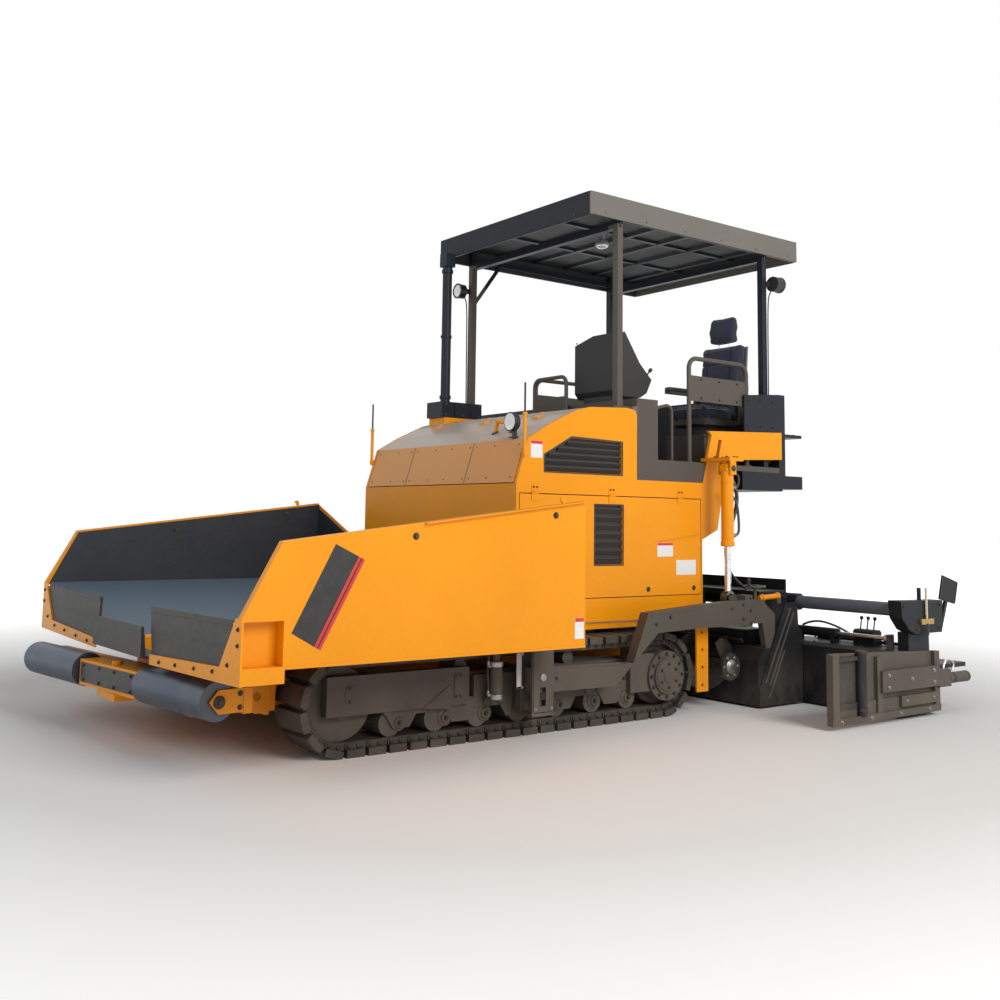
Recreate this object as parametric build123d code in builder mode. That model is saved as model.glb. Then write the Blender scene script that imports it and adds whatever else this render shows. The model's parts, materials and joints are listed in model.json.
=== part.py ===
from build123d import *
from math import atan2, cos, degrees, hypot, pi, radians, sin
import os

# Tracked asphalt paver with an extended screed, in millimetres.
# +X is the travel direction, +Y the left side, +Z up; the origin is on the ground, mid-length and mid-width.

# ---------------------------------------------------------------- driving sizes
gap = 6                      # running gap between panels that open
sheet = 12                   # plate of the hopper, screed and brackets

# tracks
wheel_r = 200                # sprocket and idler, under the chain
chain_t = 45                 # chain thickness
shoe_t = 35                  # shoe thickness
shoe_count = 48
sprocket_x = -678
idler_x = 1785
track_in = 800               # inner face of a track
track_w = 310
seat_gap = 0.3               # between round faces that touch
axle_z = wheel_r + chain_t + shoe_t
track_out = track_in + track_w
roller_r = 75
roller_count = 7

# chassis
rail_in = 420                # inner face of the long rails
rail_t = 30
rail_low = 180
rail_high = 525
nose_x = 2400                # front end of the chassis rails
tail_x = -900                # rear end of the chassis rails under the body
lashing_r = 25               # lashing holes in the lugs behind the push beam
lashing_x = 2195
lashing_z = 330

# hopper
wing_hinge_y = 450
wing_hinge_z = 540
wing_rear = 520
wing_front = 2664
wing_out = 1643
wing_skin = 43               # depth of the side wall's box section
wing_top_rear = 1424
wing_top_front = 1188
wing_nose_x = 2463           # where the top edge turns down
wing_nose_z = 825
wing_low = 580
hinge_pin_r = 8
knuckle_r = 16

# push beam
beam_x = 2676.6
beam_z = 370
beam_low = beam_z - 80
beam_yaw = 6.5               # the beam stands a little askew
push_r = 100
push_in = 392
push_out = 1141

# body
body_y = 940
panel_t = 25
hood_x = 485                 # lower front face
fold_z = 1545
brow_x = 393                 # upper front edge
brow_z = 1836
lid_hinge_x = 20
lid_hinge_z = 2037
deck_z = 2101
locker_front = -589
locker_back = -797
floor_z = 1750
sill_z = 1602
rear_x = -2173
door_low = 800
door_high = 1480
door_front = 455
door_back = -1235
door_hinge_y = 946
door_hinge_z = 1487

# canopy
roof_front = -155
roof_back = -2411
roof_y = 926
roof_top = 3600
roof_deep = 164
post_y = 900
post_front = -463
post_back = -2033
post_w = 50

# auger
auger_x = -1300
auger_z = 300
auger_r = 190
auger_shaft_r = 45
auger_in = 85.3
auger_out = 1150
auger_disc_r = 95
guide_x = -980               # front edge of the guide plates beside the augers
guide_back = -1097
guide_low = 144
flight_pitch = 320

# screed
tow_x = 536
tow_z = 350
arm_in = 1180
arm_t = 75
screed_y = 1250
screed_front = -1505
screed_back = -1990
screed_low = 15
screed_top = 420
tube_x = -2045
tube_z = 735
tube_r = 47
ext_front = -2005
ext_back = -2400
ext_in = 1000
ext_out = 2030
ext_top = 450
gate_y = ext_out + seat_gap   # seated on the end of the extension
walk_back = -2905
walk_ext_back = -2880
gate_front = -1205
gate_back = -2440
end_box_w = 100              # box on the end of the extension's tube
lift_pin_x = -1310
lift_pin_z = 1705
lift_eye_z = 777
lift_y = 1130


# ---------------------------------------------------------------- shape helpers
def block(x0, x1, y0, y1, z0, z1):
    """A box between two corners."""
    with BuildPart() as solid:
        with Locations(((x0 + x1) / 2, (y0 + y1) / 2, (z0 + z1) / 2)):
            Box(abs(x1 - x0), abs(y1 - y0), abs(z1 - z0))
    return solid.part


def slab_y(points, y0, y1):
    """An outline in X and Z, carried from y0 to y1."""
    with BuildPart() as solid:
        with BuildSketch(Plane(origin=(0, y1, 0), x_dir=(1, 0, 0), z_dir=(0, -1, 0))):
            with BuildLine():
                Polyline(*points, close=True)
            make_face()
        extrude(amount=y1 - y0)
    return solid.part


def slab_x(points, x0, x1):
    """An outline in Y and Z, carried from x0 to x1."""
    with BuildPart() as solid:
        with BuildSketch(Plane(origin=(x0, 0, 0), x_dir=(0, 1, 0), z_dir=(1, 0, 0))):
            with BuildLine():
                Polyline(*points, close=True)
            make_face()
        extrude(amount=x1 - x0)
    return solid.part


def rod(start, end, radius, bore=0):
    """A round bar or tube between two points."""
    axis = Vector(*end) - Vector(*start)
    with BuildPart() as solid:
        with BuildSketch(Plane(origin=start, z_dir=axis)):
            Circle(radius)
            if bore:
                Circle(bore, mode=Mode.SUBTRACT)
        extrude(amount=axis.length)
    return solid.part


def bent_tube(points, radius, bend):
    """A tube along straight runs joined by arcs."""
    with BuildPart() as solid:
        with BuildLine() as path:
            FilletPolyline(*points, radius=bend)
        with BuildSketch(path.line ^ 0):
            Circle(radius)
        sweep()
    return solid.part


def other_side(part):
    """The same piece on the right side."""
    with BuildPart() as solid:
        mirror(part, about=Plane.XZ)
    return solid.part


def turned(part, x, y, yaw):
    """A piece turned about an upright axis."""
    return part.rotate(Axis((x, y, 0), (0, 0, 1)), yaw)


os.makedirs("parts", exist_ok=True)


def save(name, part):
    part.label = name
    export_step(part, "parts/" + name + ".step")


def save_pair(name, part):
    save(name + "_left", part)
    save(name + "_right", other_side(part))


# ---------------------------------------------------------------- tracks
def loop_places(count, radius):
    """Places in the XZ sketch, evenly spaced along a track's loop and turned to face outwards."""
    straight = idler_x - sprocket_x
    bend = pi * radius
    places = []
    for index in range(count):
        along = (index + 0.5) * 2 * (straight + bend) / count
        if along < straight:
            x, z, out = sprocket_x + along, axle_z - radius, 0
        elif along < straight + bend:
            turn = (along - straight) / radius
            x, z, out = idler_x + radius * sin(turn), axle_z - radius * cos(turn), degrees(turn)
        elif along < 2 * straight + bend:
            x, z, out = idler_x - (along - straight - bend), axle_z + radius, 0
        else:
            turn = (along - 2 * straight - bend) / radius
            x, z, out = sprocket_x - radius * sin(turn), axle_z + radius * cos(turn), degrees(turn)
        places.append(Location((x, z), out))
    return places


track_mid_x = (sprocket_x + idler_x) / 2
track_mid_y = track_in + track_w / 2
chain_r = wheel_r + chain_t
with BuildPart() as track:
    with BuildSketch(Plane.XZ.offset(-track_in - track_w + 40)):
        with Locations((track_mid_x, axle_z)):
            SlotCenterToCenter(idler_x - sprocket_x, 2 * chain_r)
            SlotCenterToCenter(idler_x - sprocket_x, 2 * wheel_r, mode=Mode.SUBTRACT)
    extrude(amount=track_w - 80)
    with BuildSketch(Plane.XZ.offset(-track_in - track_w)):
        with Locations(*loop_places(shoe_count, chain_r + shoe_t / 2 - 2)):
            Rectangle(112, shoe_t + 14)
        with Locations((track_mid_x, axle_z)):
            SlotCenterToCenter(idler_x - sprocket_x, 2 * (chain_r + shoe_t), mode=Mode.INTERSECT)
    extrude(amount=track_w)
save_pair("track", track.part)

# ---------------------------------------------------------------- track frames
frame_in = track_in + 45
frame_out = track_out - 45
roller_z = axle_z - wheel_r + roller_r + seat_gap
with BuildPart() as track_frame:
    add(block(sprocket_x + 215, idler_x - 215, frame_in + 25, frame_out - 25, 215, 400))
    add(block(952, 1903, frame_out - 25, track_out - 8, 225, 440))
    add(slab_y([(1276, 223), (1087, 347), (1084, 206)], track_out - 8, track_out - 2))
    for arch in range(5):
        arch_x = 1406 - arch * 405
        add(slab_y([(arch_x - 300, 260), (arch_x - 300, 195), (arch_x - 100, 195), (arch_x - 55, 125),
                    (arch_x + 55, 125), (arch_x + 100, 195), (arch_x + 105, 195), (arch_x + 105, 260)],
                   frame_out + seat_gap, frame_out + 12))
    add(block(sprocket_x + 100, sprocket_x + 320, frame_out - 25, track_out + 5, 185, 432))
    add(block(sprocket_x + 330, 900, frame_out - 25, track_out - 30, 250, 385))
    for wheel_x, wheel_width in ((sprocket_x, track_w - 190), (idler_x, track_w - 160)):
        add(rod((wheel_x, track_mid_y - wheel_width / 2, axle_z), (wheel_x, track_mid_y + wheel_width / 2, axle_z),
                wheel_r - seat_gap))
    add(rod((sprocket_x, track_mid_y, axle_z), (sprocket_x, track_out + 25, axle_z), 165))
    add(rod((sprocket_x, track_out + 25, axle_z), (sprocket_x, track_out + 40, axle_z), 120))
    add(rod((idler_x, frame_in, axle_z), (idler_x, frame_out, axle_z), 45))
    add(block(idler_x - 300, idler_x, frame_in, frame_in + 25, 240, 320))
    add(block(idler_x - 300, idler_x, frame_out - 25, frame_out, 240, 320))
    add(block(sprocket_x, sprocket_x + 330, frame_in + 25, frame_in + 60, 215, 345))
    roller_step = (idler_x - sprocket_x - 620) / (roller_count - 1)
    for index in range(roller_count):
        roller_x = sprocket_x + 310 + index * roller_step
        add(rod((roller_x, frame_in, roller_z), (roller_x, frame_out, roller_z), roller_r))
    for carrier_x in (sprocket_x + 800, sprocket_x + 1650):
        add(rod((carrier_x, frame_in + 30, 436 - seat_gap), (carrier_x, frame_out - 30, 436 - seat_gap), 44))
    add(block(350, 520, rail_in + rail_t, frame_in + 60, 250, 380))
    add(block(-350, -180, rail_in + rail_t, frame_in + 60, 250, 380))
    add(block(1200, 1370, rail_in + rail_t, frame_in + 60, 250, 380))
save_pair("track_frame", track_frame.part)

# ---------------------------------------------------------------- chassis
with BuildPart() as chassis_frame:
    for side in (-1, 1):
        add(block(tail_x, nose_x, side * rail_in, side * (rail_in + rail_t), rail_low, rail_high - 25))
        add(block(tail_x, hood_x - 20, side * (rail_in + rail_t), side * (body_y - panel_t), 590, 630))
        add(block(hood_x - 120, hood_x - 20, side * (rail_in + rail_t), side * (body_y - panel_t), 630, 1500))
        add(block(2120, 2150, side * (rail_in + rail_t), side * 850, 230, 520))
        add(slab_y([(2090, 250), (2090, 480), (1990, 600), (2120, 540), (2120, 250)], side * 850 - 8, side * 850 + 8))
        for ear_x in (640, 1290, 1940, 2300):
            add(block(ear_x, ear_x + 60, side * (rail_in + 5), side * wing_hinge_y, 480, wing_hinge_z))
            add(rod((ear_x, side * wing_hinge_y, wing_hinge_z), (ear_x + 60, side * wing_hinge_y, wing_hinge_z), 15))
            add(rod((ear_x - 88, side * wing_hinge_y, wing_hinge_z), (ear_x, side * wing_hinge_y, wing_hinge_z),
                    hinge_pin_r))
        add(block(-1180, -880, side * 880, side * 915, 630, 1200))
        add(block(guide_back, guide_x, side * 880, side * 1130, 640, 665))
        add(block(guide_back, guide_x, side * 1118, side * 1130, guide_low, 665))
        add(slab_y([(2140, 240), (2140, 420), (lashing_x + 10, 420), (lashing_x + 50, 380), (lashing_x + 50, 280),
                    (lashing_x + 10, 240)], min(side * 835, side * 850), max(side * 835, side * 850)))
        add(rod((2150, side * 510, 290), (2250, side * 510, 290), 15))
        add(block(2250, 2262, side * (rail_in + rail_t), side * 540, 260, 320))
    add(block(tail_x, nose_x, -rail_in, rail_in, rail_low, rail_low + 20))
    add(block(nose_x - 20, nose_x, -rail_in, rail_in, rail_low, 468))
    add(block(tail_x, tail_x + 30, -rail_in, rail_in, rail_low, 300))
    add(block(hood_x - 60, hood_x - 20, -rail_in - rail_t, rail_in + rail_t, 500, 1500))
    for bearer_x in (-420, 230):
        add(block(bearer_x, bearer_x + 80, -rail_in - rail_t, rail_in + rail_t, rail_high - 25, 700))
    add(block(nose_x, beam_x + 60, -150, 150, 250, beam_low - seat_gap))
    add(rod((beam_x, 0, beam_low - seat_gap), (beam_x, 0, beam_z + 90), 30))
    with Locations(*[Location(((guide_x + guide_back) / 2, side * 1124, 190 + step * 120), (90, 0, 0))
                     for side in (-1, 1) for step in range(4)]):
        Cylinder(11, 40, mode=Mode.SUBTRACT)
    with Locations(*[Location((lashing_x, side * 842, lashing_z), (90, 0, 0)) for side in (-1, 1)]):
        Cylinder(lashing_r, 40, mode=Mode.SUBTRACT)
save("chassis_frame", chassis_frame.part)

with BuildPart() as slat_conveyor:
    add(block(tail_x + 60, nose_x - 40, -rail_in, rail_in, 400, 430))
    for side in (-1, 1):
        for slat_x in range(tail_x + 100, int(nose_x) - 60, 160):
            add(block(slat_x, slat_x + 40, 20 * side, 370 * side, 430, 452))
save("slat_conveyor", slat_conveyor.part)

with BuildPart() as engine_block:
    add(block(-480, 340, -340, 340, 700, 1640))
save("engine_block", engine_block.part)

# ---------------------------------------------------------------- hopper wings
floor_in_y = wing_hinge_y + 20
side_in = wing_out - wing_skin
floor_out_z = 822
wing_back = wing_rear + sheet + seat_gap     # the rear wall is a plate of its own, seated on the wing's end

with BuildPart() as hopper_wing:
    add(slab_x([(floor_in_y, 536), (floor_in_y, 548), (side_in, floor_out_z), (side_in, floor_out_z - 12)],
               wing_back, wing_front - 28))
    side_outline = [(wing_back, floor_out_z - 12), (wing_back, wing_top_rear), (wing_nose_x, wing_top_front),
                    (wing_front, wing_nose_z), (wing_front, floor_out_z - 12)]
    add(slab_y(side_outline, side_in, wing_out))
    add(block(wing_back, wing_front, wing_out - sheet, wing_out, wing_low, floor_out_z))
    add(block(2434, wing_front, wing_out - 95, wing_out, 515, 595))
    add(block(2446, wing_front, wing_out - 95, wing_out - 80, 595, floor_out_z - 18))
    add(block(2446, wing_front + 1, wing_out - 80, wing_out + 1, 595, floor_out_z - 12), mode=Mode.SUBTRACT)
    add(block(2434, 2446, wing_out - 95, wing_out, 595, floor_out_z - 18))
    add(slab_x([(wing_out, wing_nose_z), (wing_out, 512), (floor_in_y, 490), (floor_in_y, 545), (wing_out - 239, 582),
                (wing_out - 68, wing_nose_z)], wing_front - sheet, wing_front))
    add(slab_x([(floor_in_y, 540), (floor_in_y, 900), (wing_out - 518, 1200), (wing_out, wing_top_rear),
                (wing_out, wing_low), (wing_out - 343, 600), (1000, 650)], wing_rear, wing_rear + sheet))
    add(slab_y([(wing_back, wing_top_rear - 8), (wing_back, wing_top_rear), (1650, 1287), (1650, 1279)],
               wing_out, wing_out + 25))
    for rib_x in (1150, 1750):
        add(slab_x([(1000, 668), (wing_out - 83, 806), (wing_out - 5, 806), (wing_out - 5, 590), (wing_out - 343, 600)],
                   rib_x, rib_x + sheet))
    for knuckle_x in (555, 1205, 1855, 2215):
        add(rod((knuckle_x, wing_hinge_y, wing_hinge_z), (knuckle_x + 80, wing_hinge_y, wing_hinge_z), knuckle_r))
        add(slab_x([(460, 532), (460, 547), (485, 547), (485, 538)], knuckle_x + 4, knuckle_x + 76))
        add(rod((knuckle_x - 1, wing_hinge_y, wing_hinge_z), (knuckle_x + 81, wing_hinge_y, wing_hinge_z),
                hinge_pin_r + 0.5), mode=Mode.SUBTRACT)
    for lug_x in (2150, 2238):
        add(slab_x([(925, 565), (925, 650), (1035, 677), (1035, 565)], lug_x, lug_x + sheet))
    add(rod((2150, 980, 600), (2250, 980, 600), 14))
save_pair("hopper_wing", hopper_wing.part)

liner_t = 5
with BuildPart() as wing_liner:
    add(slab_x([(floor_in_y, 548), (floor_in_y, 548 + liner_t), (side_in - liner_t, floor_out_z + liner_t),
                (side_in, floor_out_z + liner_t), (side_in, floor_out_z)], wing_rear + sheet, wing_front - 28))
    add(slab_y([(wing_rear + sheet, floor_out_z), (wing_rear + sheet, wing_top_rear - 12),
                (wing_nose_x - 6, wing_top_front - 12), (wing_front - 30, wing_nose_z + 10),
                (wing_front - 30, floor_out_z)], side_in - liner_t, side_in))
    add(slab_x([(floor_in_y, 549), (floor_in_y, 880), (wing_out - 520, 1180), (side_in, wing_top_rear - 40),
                (side_in, floor_out_z + 1)], wing_rear + sheet, wing_rear + sheet + liner_t))
save_pair("wing_liner", wing_liner.part)

with BuildPart() as apron:
    add(slab_x([(430, 800), (wing_out - 98, 812), (wing_out - 233, 560), (475, 520)], wing_front - sheet - 15,
               wing_front - sheet))
save_pair("apron", apron.part)

with BuildPart() as apron_centre:
    add(slab_y([(nose_x - 15, 468), (nose_x - 15, 480), (wing_front, 530), (wing_front + 16, 690), (wing_front + 30, 690),
                (wing_front + 30, 520)], -415, 415))
save("apron_centre", apron_centre.part)


# ---------------------------------------------------------------- cylinders
rod_gap = 0.5                # round a rod or a pin in its bore
pin_r = 15


def cylinder_barrel(pin, eye, radius, bore, length, width):
    """Barrel of a cylinder from its pin towards its eye."""
    reach = hypot(eye[0] - pin[0], eye[1] - pin[1])
    ux, uz = (eye[0] - pin[0]) / reach, (eye[1] - pin[1]) / reach
    bore_start = (pin[0] + ux * radius, 0, pin[1] + uz * radius)
    with BuildPart() as solid:
        add(rod((pin[0], 0, pin[1]), bore_start, radius))
        add(rod(bore_start, (pin[0] + ux * length, 0, pin[1] + uz * length), radius, bore))
        add(cross_rod(pin, radius, width))
        add(cross_rod(pin, pin_r + rod_gap, 2 * radius + 2), mode=Mode.SUBTRACT)
    return solid.part


def cylinder_rod(pin, eye, radius, start, width, eye_r, eye_bore):
    """Rod of a cylinder, with an eye at its end."""
    reach = hypot(eye[0] - pin[0], eye[1] - pin[1])
    ux, uz = (eye[0] - pin[0]) / reach, (eye[1] - pin[1]) / reach
    with BuildPart() as solid:
        add(rod((pin[0] + ux * start, 0, pin[1] + uz * start), (eye[0], 0, eye[1]), radius))
        add(cross_rod(eye, eye_r, width))
        add(cross_rod(eye, eye_bore, width + 2), mode=Mode.SUBTRACT)
    return solid.part


def cross_rod(point, radius, width):
    """A bar across the local XZ plane."""
    return rod((point[0], -width / 2, point[1]), (point[0], width / 2, point[1]), radius)


# wing cylinder, drawn in a plane whose first axis is Y: turned by 90 degrees to its place
wing_cyl_x = 2200
wing_pin = (510, 290)
wing_eye = (980, 600)


def to_wing_plane(part):
    """From the local XZ plane to the YZ plane at the wing cylinder."""
    return part.rotate(Axis.Z, 90).move(Location((wing_cyl_x, 0, 0)))


save_pair("wing_barrel", to_wing_plane(cylinder_barrel(wing_pin, wing_eye, 38, 20 + rod_gap, 330, 56)))
save_pair("wing_rod", to_wing_plane(cylinder_rod(wing_pin, wing_eye, 20, 120, 50, 42, 30)))

# ---------------------------------------------------------------- push beam and rollers
with BuildPart() as push_beam:
    add(block(beam_x - 60, beam_x + 60, -370, 370, beam_low, beam_z + 70))
    add(block(beam_x - 190, beam_x - 60, -370, 370, beam_z - 70, beam_z + 60))
    add(block(beam_x - 190, beam_x - 140, -1165, 1165, beam_z - 70, beam_z + 60))
    for side in (-1, 1):
        for plate_y in (373, 1147):
            add(slab_y([(beam_x - 150, beam_z - 60), (beam_x - 150, beam_z + 60), (beam_x, beam_z + 60),
                        (beam_x + 50, beam_z), (beam_x, beam_z - 60)], side * plate_y - (0 if side > 0 else 14),
                       side * plate_y + (14 if side > 0 else 0)))
        add(rod((beam_x, side * 370, beam_z), (beam_x, side * 1158, beam_z), 20))
    add(rod((beam_x, 0, beam_z - 90), (beam_x, 0, beam_z + 90), 30.5), mode=Mode.SUBTRACT)
save("push_beam", turned(push_beam.part, beam_x, 0, beam_yaw))

for side_name, side in (("left", 1), ("right", -1)):
    with BuildPart() as push_roller:
        add(rod((beam_x, side * push_in, beam_z), (beam_x, side * push_out, beam_z), push_r, 20.5))
    save("push_roller_" + side_name, turned(push_roller.part, beam_x, 0, beam_yaw))

# ---------------------------------------------------------------- body panels
body_outline = [(hood_x, 640), (hood_x, fold_z), (brow_x, brow_z), (209, 1942), (-26, 2051), (-145, 2082),
                (-501, deck_z), (-575, 2085), (locker_front, 2058), (locker_front, sill_z), (-1262, sill_z),
                (-1363, 1963), (-1330, 1990), (rear_x, 2026), (rear_x, 1814), (-1526, 1784), (-1421, 1262),
                (-1255, 1190), (-1255, 700), (-600, 640)]
louver_low = 1632
louver_front = 248
louver_fall = 125 / 234         # slope of the opening's upper front edge
louver_outline = [(15, 1861), (-444, 1853), (-445, louver_low), (louver_front, louver_low), (louver_front, 1736)]
with BuildPart() as side_panel:
    add(slab_y(body_outline, body_y - panel_t, body_y))
    add(block(door_back - gap, door_front + gap, body_y - panel_t - 1, body_y + 1, door_low - gap, door_high + gap),
        mode=Mode.SUBTRACT)
    add(slab_y(louver_outline, body_y - panel_t - 1, body_y + 1), mode=Mode.SUBTRACT)
    add(slab_y([(-1439, 1930), (-1473, 1932), (-1438, 1795), (-1405, 1794)], body_y - panel_t - 1, body_y + 1),
        mode=Mode.SUBTRACT)
    add(block(lift_pin_x - 110, lift_pin_x + 40, body_y - panel_t, lift_y + 60, 1760, 1785))
    add(block(lift_pin_x - 30, lift_pin_x + 30, lift_y - 60, lift_y - 48, 1660, 1770))
    add(block(lift_pin_x - 30, lift_pin_x + 30, lift_y + 48, lift_y + 60, 1660, 1770))
    add(rod((lift_pin_x, lift_y - 60, lift_pin_z), (lift_pin_x, lift_y + 60, lift_pin_z), 15))
save_pair("side_panel", side_panel.part)

with BuildPart() as side_grille:
    add(slab_y([(25, 1871), (-455, 1863), (-455, louver_low - 10), (louver_front + 10, louver_low - 10),
                (louver_front + 10, 1742)], body_y - panel_t - 6, body_y - panel_t))
    for slat in range(5):
        slat_z = louver_low + 8 + slat * 43
        slat_front = louver_front - 4 - max(0, (slat_z + 28 - 1736) / louver_fall)
        add(slab_x([(body_y - 28, slat_z), (body_y - 7, slat_z + 28), (body_y - 2, slat_z + 28), (body_y - 2, slat_z + 20),
                    (body_y - 20, slat_z - 4), (body_y - 28, slat_z - 4)], -442, slat_front))
save_pair("side_grille", side_grille.part)

with BuildPart() as side_door:
    add(block(door_back, door_front, body_y - 22, body_y, door_low, door_high))
    add(block(-455, -195, body_y - 23, body_y + 1, 1018, 1420), mode=Mode.SUBTRACT)
    for hinge_x in (300, -380, -1050):
        add(rod((hinge_x, door_hinge_y, door_hinge_z), (hinge_x + 60, door_hinge_y, door_hinge_z), 5.5))
        add(block(hinge_x, hinge_x + 60, body_y, door_hinge_y, 1440, door_hinge_z))
save_pair("side_door", side_door.part)

with BuildPart() as door_grille:
    add(block(-470, -180, body_y - 28, body_y - 22, 1003, 1435))
    for slat in range(7):
        slat_z = 1032 + slat * 56
        add(slab_x([(body_y - 25, slat_z), (body_y - 6, slat_z + 34), (body_y - 1, slat_z + 34), (body_y - 1, slat_z + 26),
                    (body_y - 17, slat_z - 5), (body_y - 25, slat_z - 5)], -452, -198))
save_pair("door_grille", door_grille.part)

with BuildPart() as hood_front:
    add(block(hood_x - 20, hood_x, -body_y + panel_t, body_y - panel_t, 560, fold_z))
    add(block(hood_x, hood_x + 22, -wing_hinge_y, wing_hinge_y, 500, 1120))
save("hood_front", hood_front.part)

lid_y = body_y - panel_t - 8
lid_hinges = (-640, -30, 580)
with BuildPart() as hood_lid:
    add(slab_y([(hood_x, fold_z + gap), (brow_x, brow_z), (209, 1942), (lid_hinge_x, lid_hinge_z - 8),
                (lid_hinge_x, lid_hinge_z - 30), (203, 1920), (380, 1818), (hood_x - 22, fold_z + gap)],
               -lid_y, lid_y))
    for hinge_y in lid_hinges:
        add(rod((lid_hinge_x, hinge_y, lid_hinge_z), (lid_hinge_x, hinge_y + 60, lid_hinge_z), 10))
        add(slab_y([(lid_hinge_x, 2030), (lid_hinge_x, 2044), (70, 2020), (70, 1998)], hinge_y, hinge_y + 60))
        add(rod((lid_hinge_x, hinge_y - 1, lid_hinge_z), (lid_hinge_x, hinge_y + 61, lid_hinge_z), 4.5),
            mode=Mode.SUBTRACT)
save("hood_lid", hood_lid.part)

# ---------------------------------------------------------------- platform
in_y = body_y - panel_t


def deck_at(x):
    """Top of the fixed deck behind the lid."""
    if x > -145:
        return 2049 + (-26 - x) * 31 / 119
    return 2080 + (-145 - x) * 19 / 356


with BuildPart() as platform:
    add(slab_y([(lid_hinge_x - 12, 2012), (lid_hinge_x - 12, 2032), (-26, 2049), (-145, 2080), (-501, 2099),
                (locker_front, 2099), (locker_front, 2070), (-145, 2055)], -in_y, in_y))
    add(block(locker_front, locker_back, -body_y, body_y, sill_z, 2178))
    add(block(locker_back, rear_x, -in_y, in_y, floor_z - 40, floor_z))
    add(slab_y([(locker_back + 10, sill_z), (locker_back + 10, floor_z), (-1303, floor_z), (-1262, sill_z)],
               -body_y, body_y))
    for hinge_y in lid_hinges:
        add(rod((lid_hinge_x, hinge_y - 40, lid_hinge_z), (lid_hinge_x, hinge_y - seat_gap, lid_hinge_z), 7))
        add(rod((lid_hinge_x, hinge_y - 40, lid_hinge_z), (lid_hinge_x, hinge_y + 60, lid_hinge_z), 4))
        add(slab_y([(lid_hinge_x, 2031), (lid_hinge_x, 2044), (-40, 2066), (-40, 2046)], hinge_y - 40,
                   hinge_y - seat_gap))
save("platform", platform.part)

guard_back = -2247
with BuildPart() as rear_guard:
    add(block(-1733, -2210, -in_y, in_y, 1567, floor_z - 40))
    add(block(rear_x, guard_back, -in_y, in_y, 1588, 2330))
    add(block(guard_back, -2457, -in_y, in_y, 1588, 1690))
    for side in (-1, 1):
        add(slab_y([(-1756, 2008.2), (-1756, 2296), (rear_x, 2330), (rear_x, 2026)],
                   min(side * (in_y - 6), side * (in_y + 6)), max(side * (in_y - 6), side * (in_y + 6))))
        add(block(guard_back, -2454, side * 640, side * in_y, 1996, 2021))
save("rear_guard", rear_guard.part)

with BuildPart() as seat_pedestal:
    add(block(-1600, -2010, 250, 650, floor_z, 2000))
save("seat_pedestal", seat_pedestal.part)

# ---------------------------------------------------------------- console, seat and rails
with BuildPart() as console:
    add(slab_y([(-650, 2270), (-650, 2692), (-727, 2701), (-880, 2481), (-1002, 2367), (-950, 2263), (-881, 2223),
                (-690, 2223)], 210, 675))
    add(slab_x([(209, 2637), (209, 2720), (470, 2720), (470, 2707)], -1010, -640), mode=Mode.SUBTRACT)
    add(block(-660, -780, 300, 600, 2178, 2230))
save("console", console.part)

seat_x = -1820
seat_y = 450
with BuildPart() as seat_frame:
    add(block(seat_x - 190, seat_x + 190, seat_y - 190, seat_y + 190, floor_z + 330, floor_z + 380))
    add(rod((seat_x, seat_y, 2000 + seat_gap), (seat_x, seat_y, floor_z + 330), 110))
    for side in (-1, 1):
        add(block(seat_x - 210, seat_x + 150, seat_y + side * 225, seat_y + side * 285, 2360, 2400))
        add(block(seat_x - 210, seat_x - 150, seat_y + side * 225, seat_y + side * 250, 2100, 2360))
    add(block(seat_x - 210, seat_x - 150, seat_y - 250, seat_y + 250, 2090, 2128))
save("seat_frame", seat_frame.part)

with BuildPart() as seat_cushion:
    add(block(seat_x - 140, seat_x + 230, seat_y - 215, seat_y + 215, floor_z + 380.3, floor_z + 490))
save("seat_cushion", seat_cushion.part)

with BuildPart() as seat_back:
    add(slab_y([(seat_x - 145, 2130.3), (seat_x - 205, 2770), (seat_x - 305, 2770), (seat_x - 235, 2130.3)],
               seat_y - 215, seat_y + 215))
    add(slab_y([(seat_x - 200, 2760), (seat_x - 215, 3005), (seat_x - 300, 3005), (seat_x - 295, 2760)],
               seat_y - 125, seat_y + 125))
save("seat_back", seat_back.part)

with BuildPart() as guard_rails:
    add(bent_tube([(-560, -160, 2099), (-560, -160, 2400), (-560, 215, 2400), (-560, 215, 2099)], 15, 60))
    add(block(-566, -554, -150, 205, 2110, 2250))
    for side in (-1, 1):
        add(bent_tube([(-1173, side * 890, floor_z), (-1173, side * 890, 2530), (-1815, side * 890, 2530),
                       (-1815, side * 890, floor_z)], 17, 80))
        add(block(-1190, -1800, side * 884, side * 896, 2210, 2400))
        add(bent_tube([(-840, side * 870, floor_z), (-840, side * 870, 2130), (-1010, side * 870, 2170),
                       (-1010, side * 870, floor_z)], 12, 50))
save("guard_rails", guard_rails.part)

# ---------------------------------------------------------------- canopy
roof_low = roof_top - roof_deep
with BuildPart() as canopy_roof:
    add(block(roof_back, roof_front, -roof_y, roof_y, roof_low, roof_top))
    add(block(roof_back + 25, roof_front - 25, -roof_y + 25, roof_y - 25, roof_low - 1, roof_top - 40),
        mode=Mode.SUBTRACT)
    fillet(canopy_roof.edges().filter_by(Axis.Z).group_by(Axis.X)[-1], 20)
    with Locations(((roof_back + roof_front) / 2, 0, roof_top - 20)):
        with PolarLocations(65, 3):
            Cylinder(4.5, 60, mode=Mode.SUBTRACT)
save("canopy_roof", canopy_roof.part)

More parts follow.
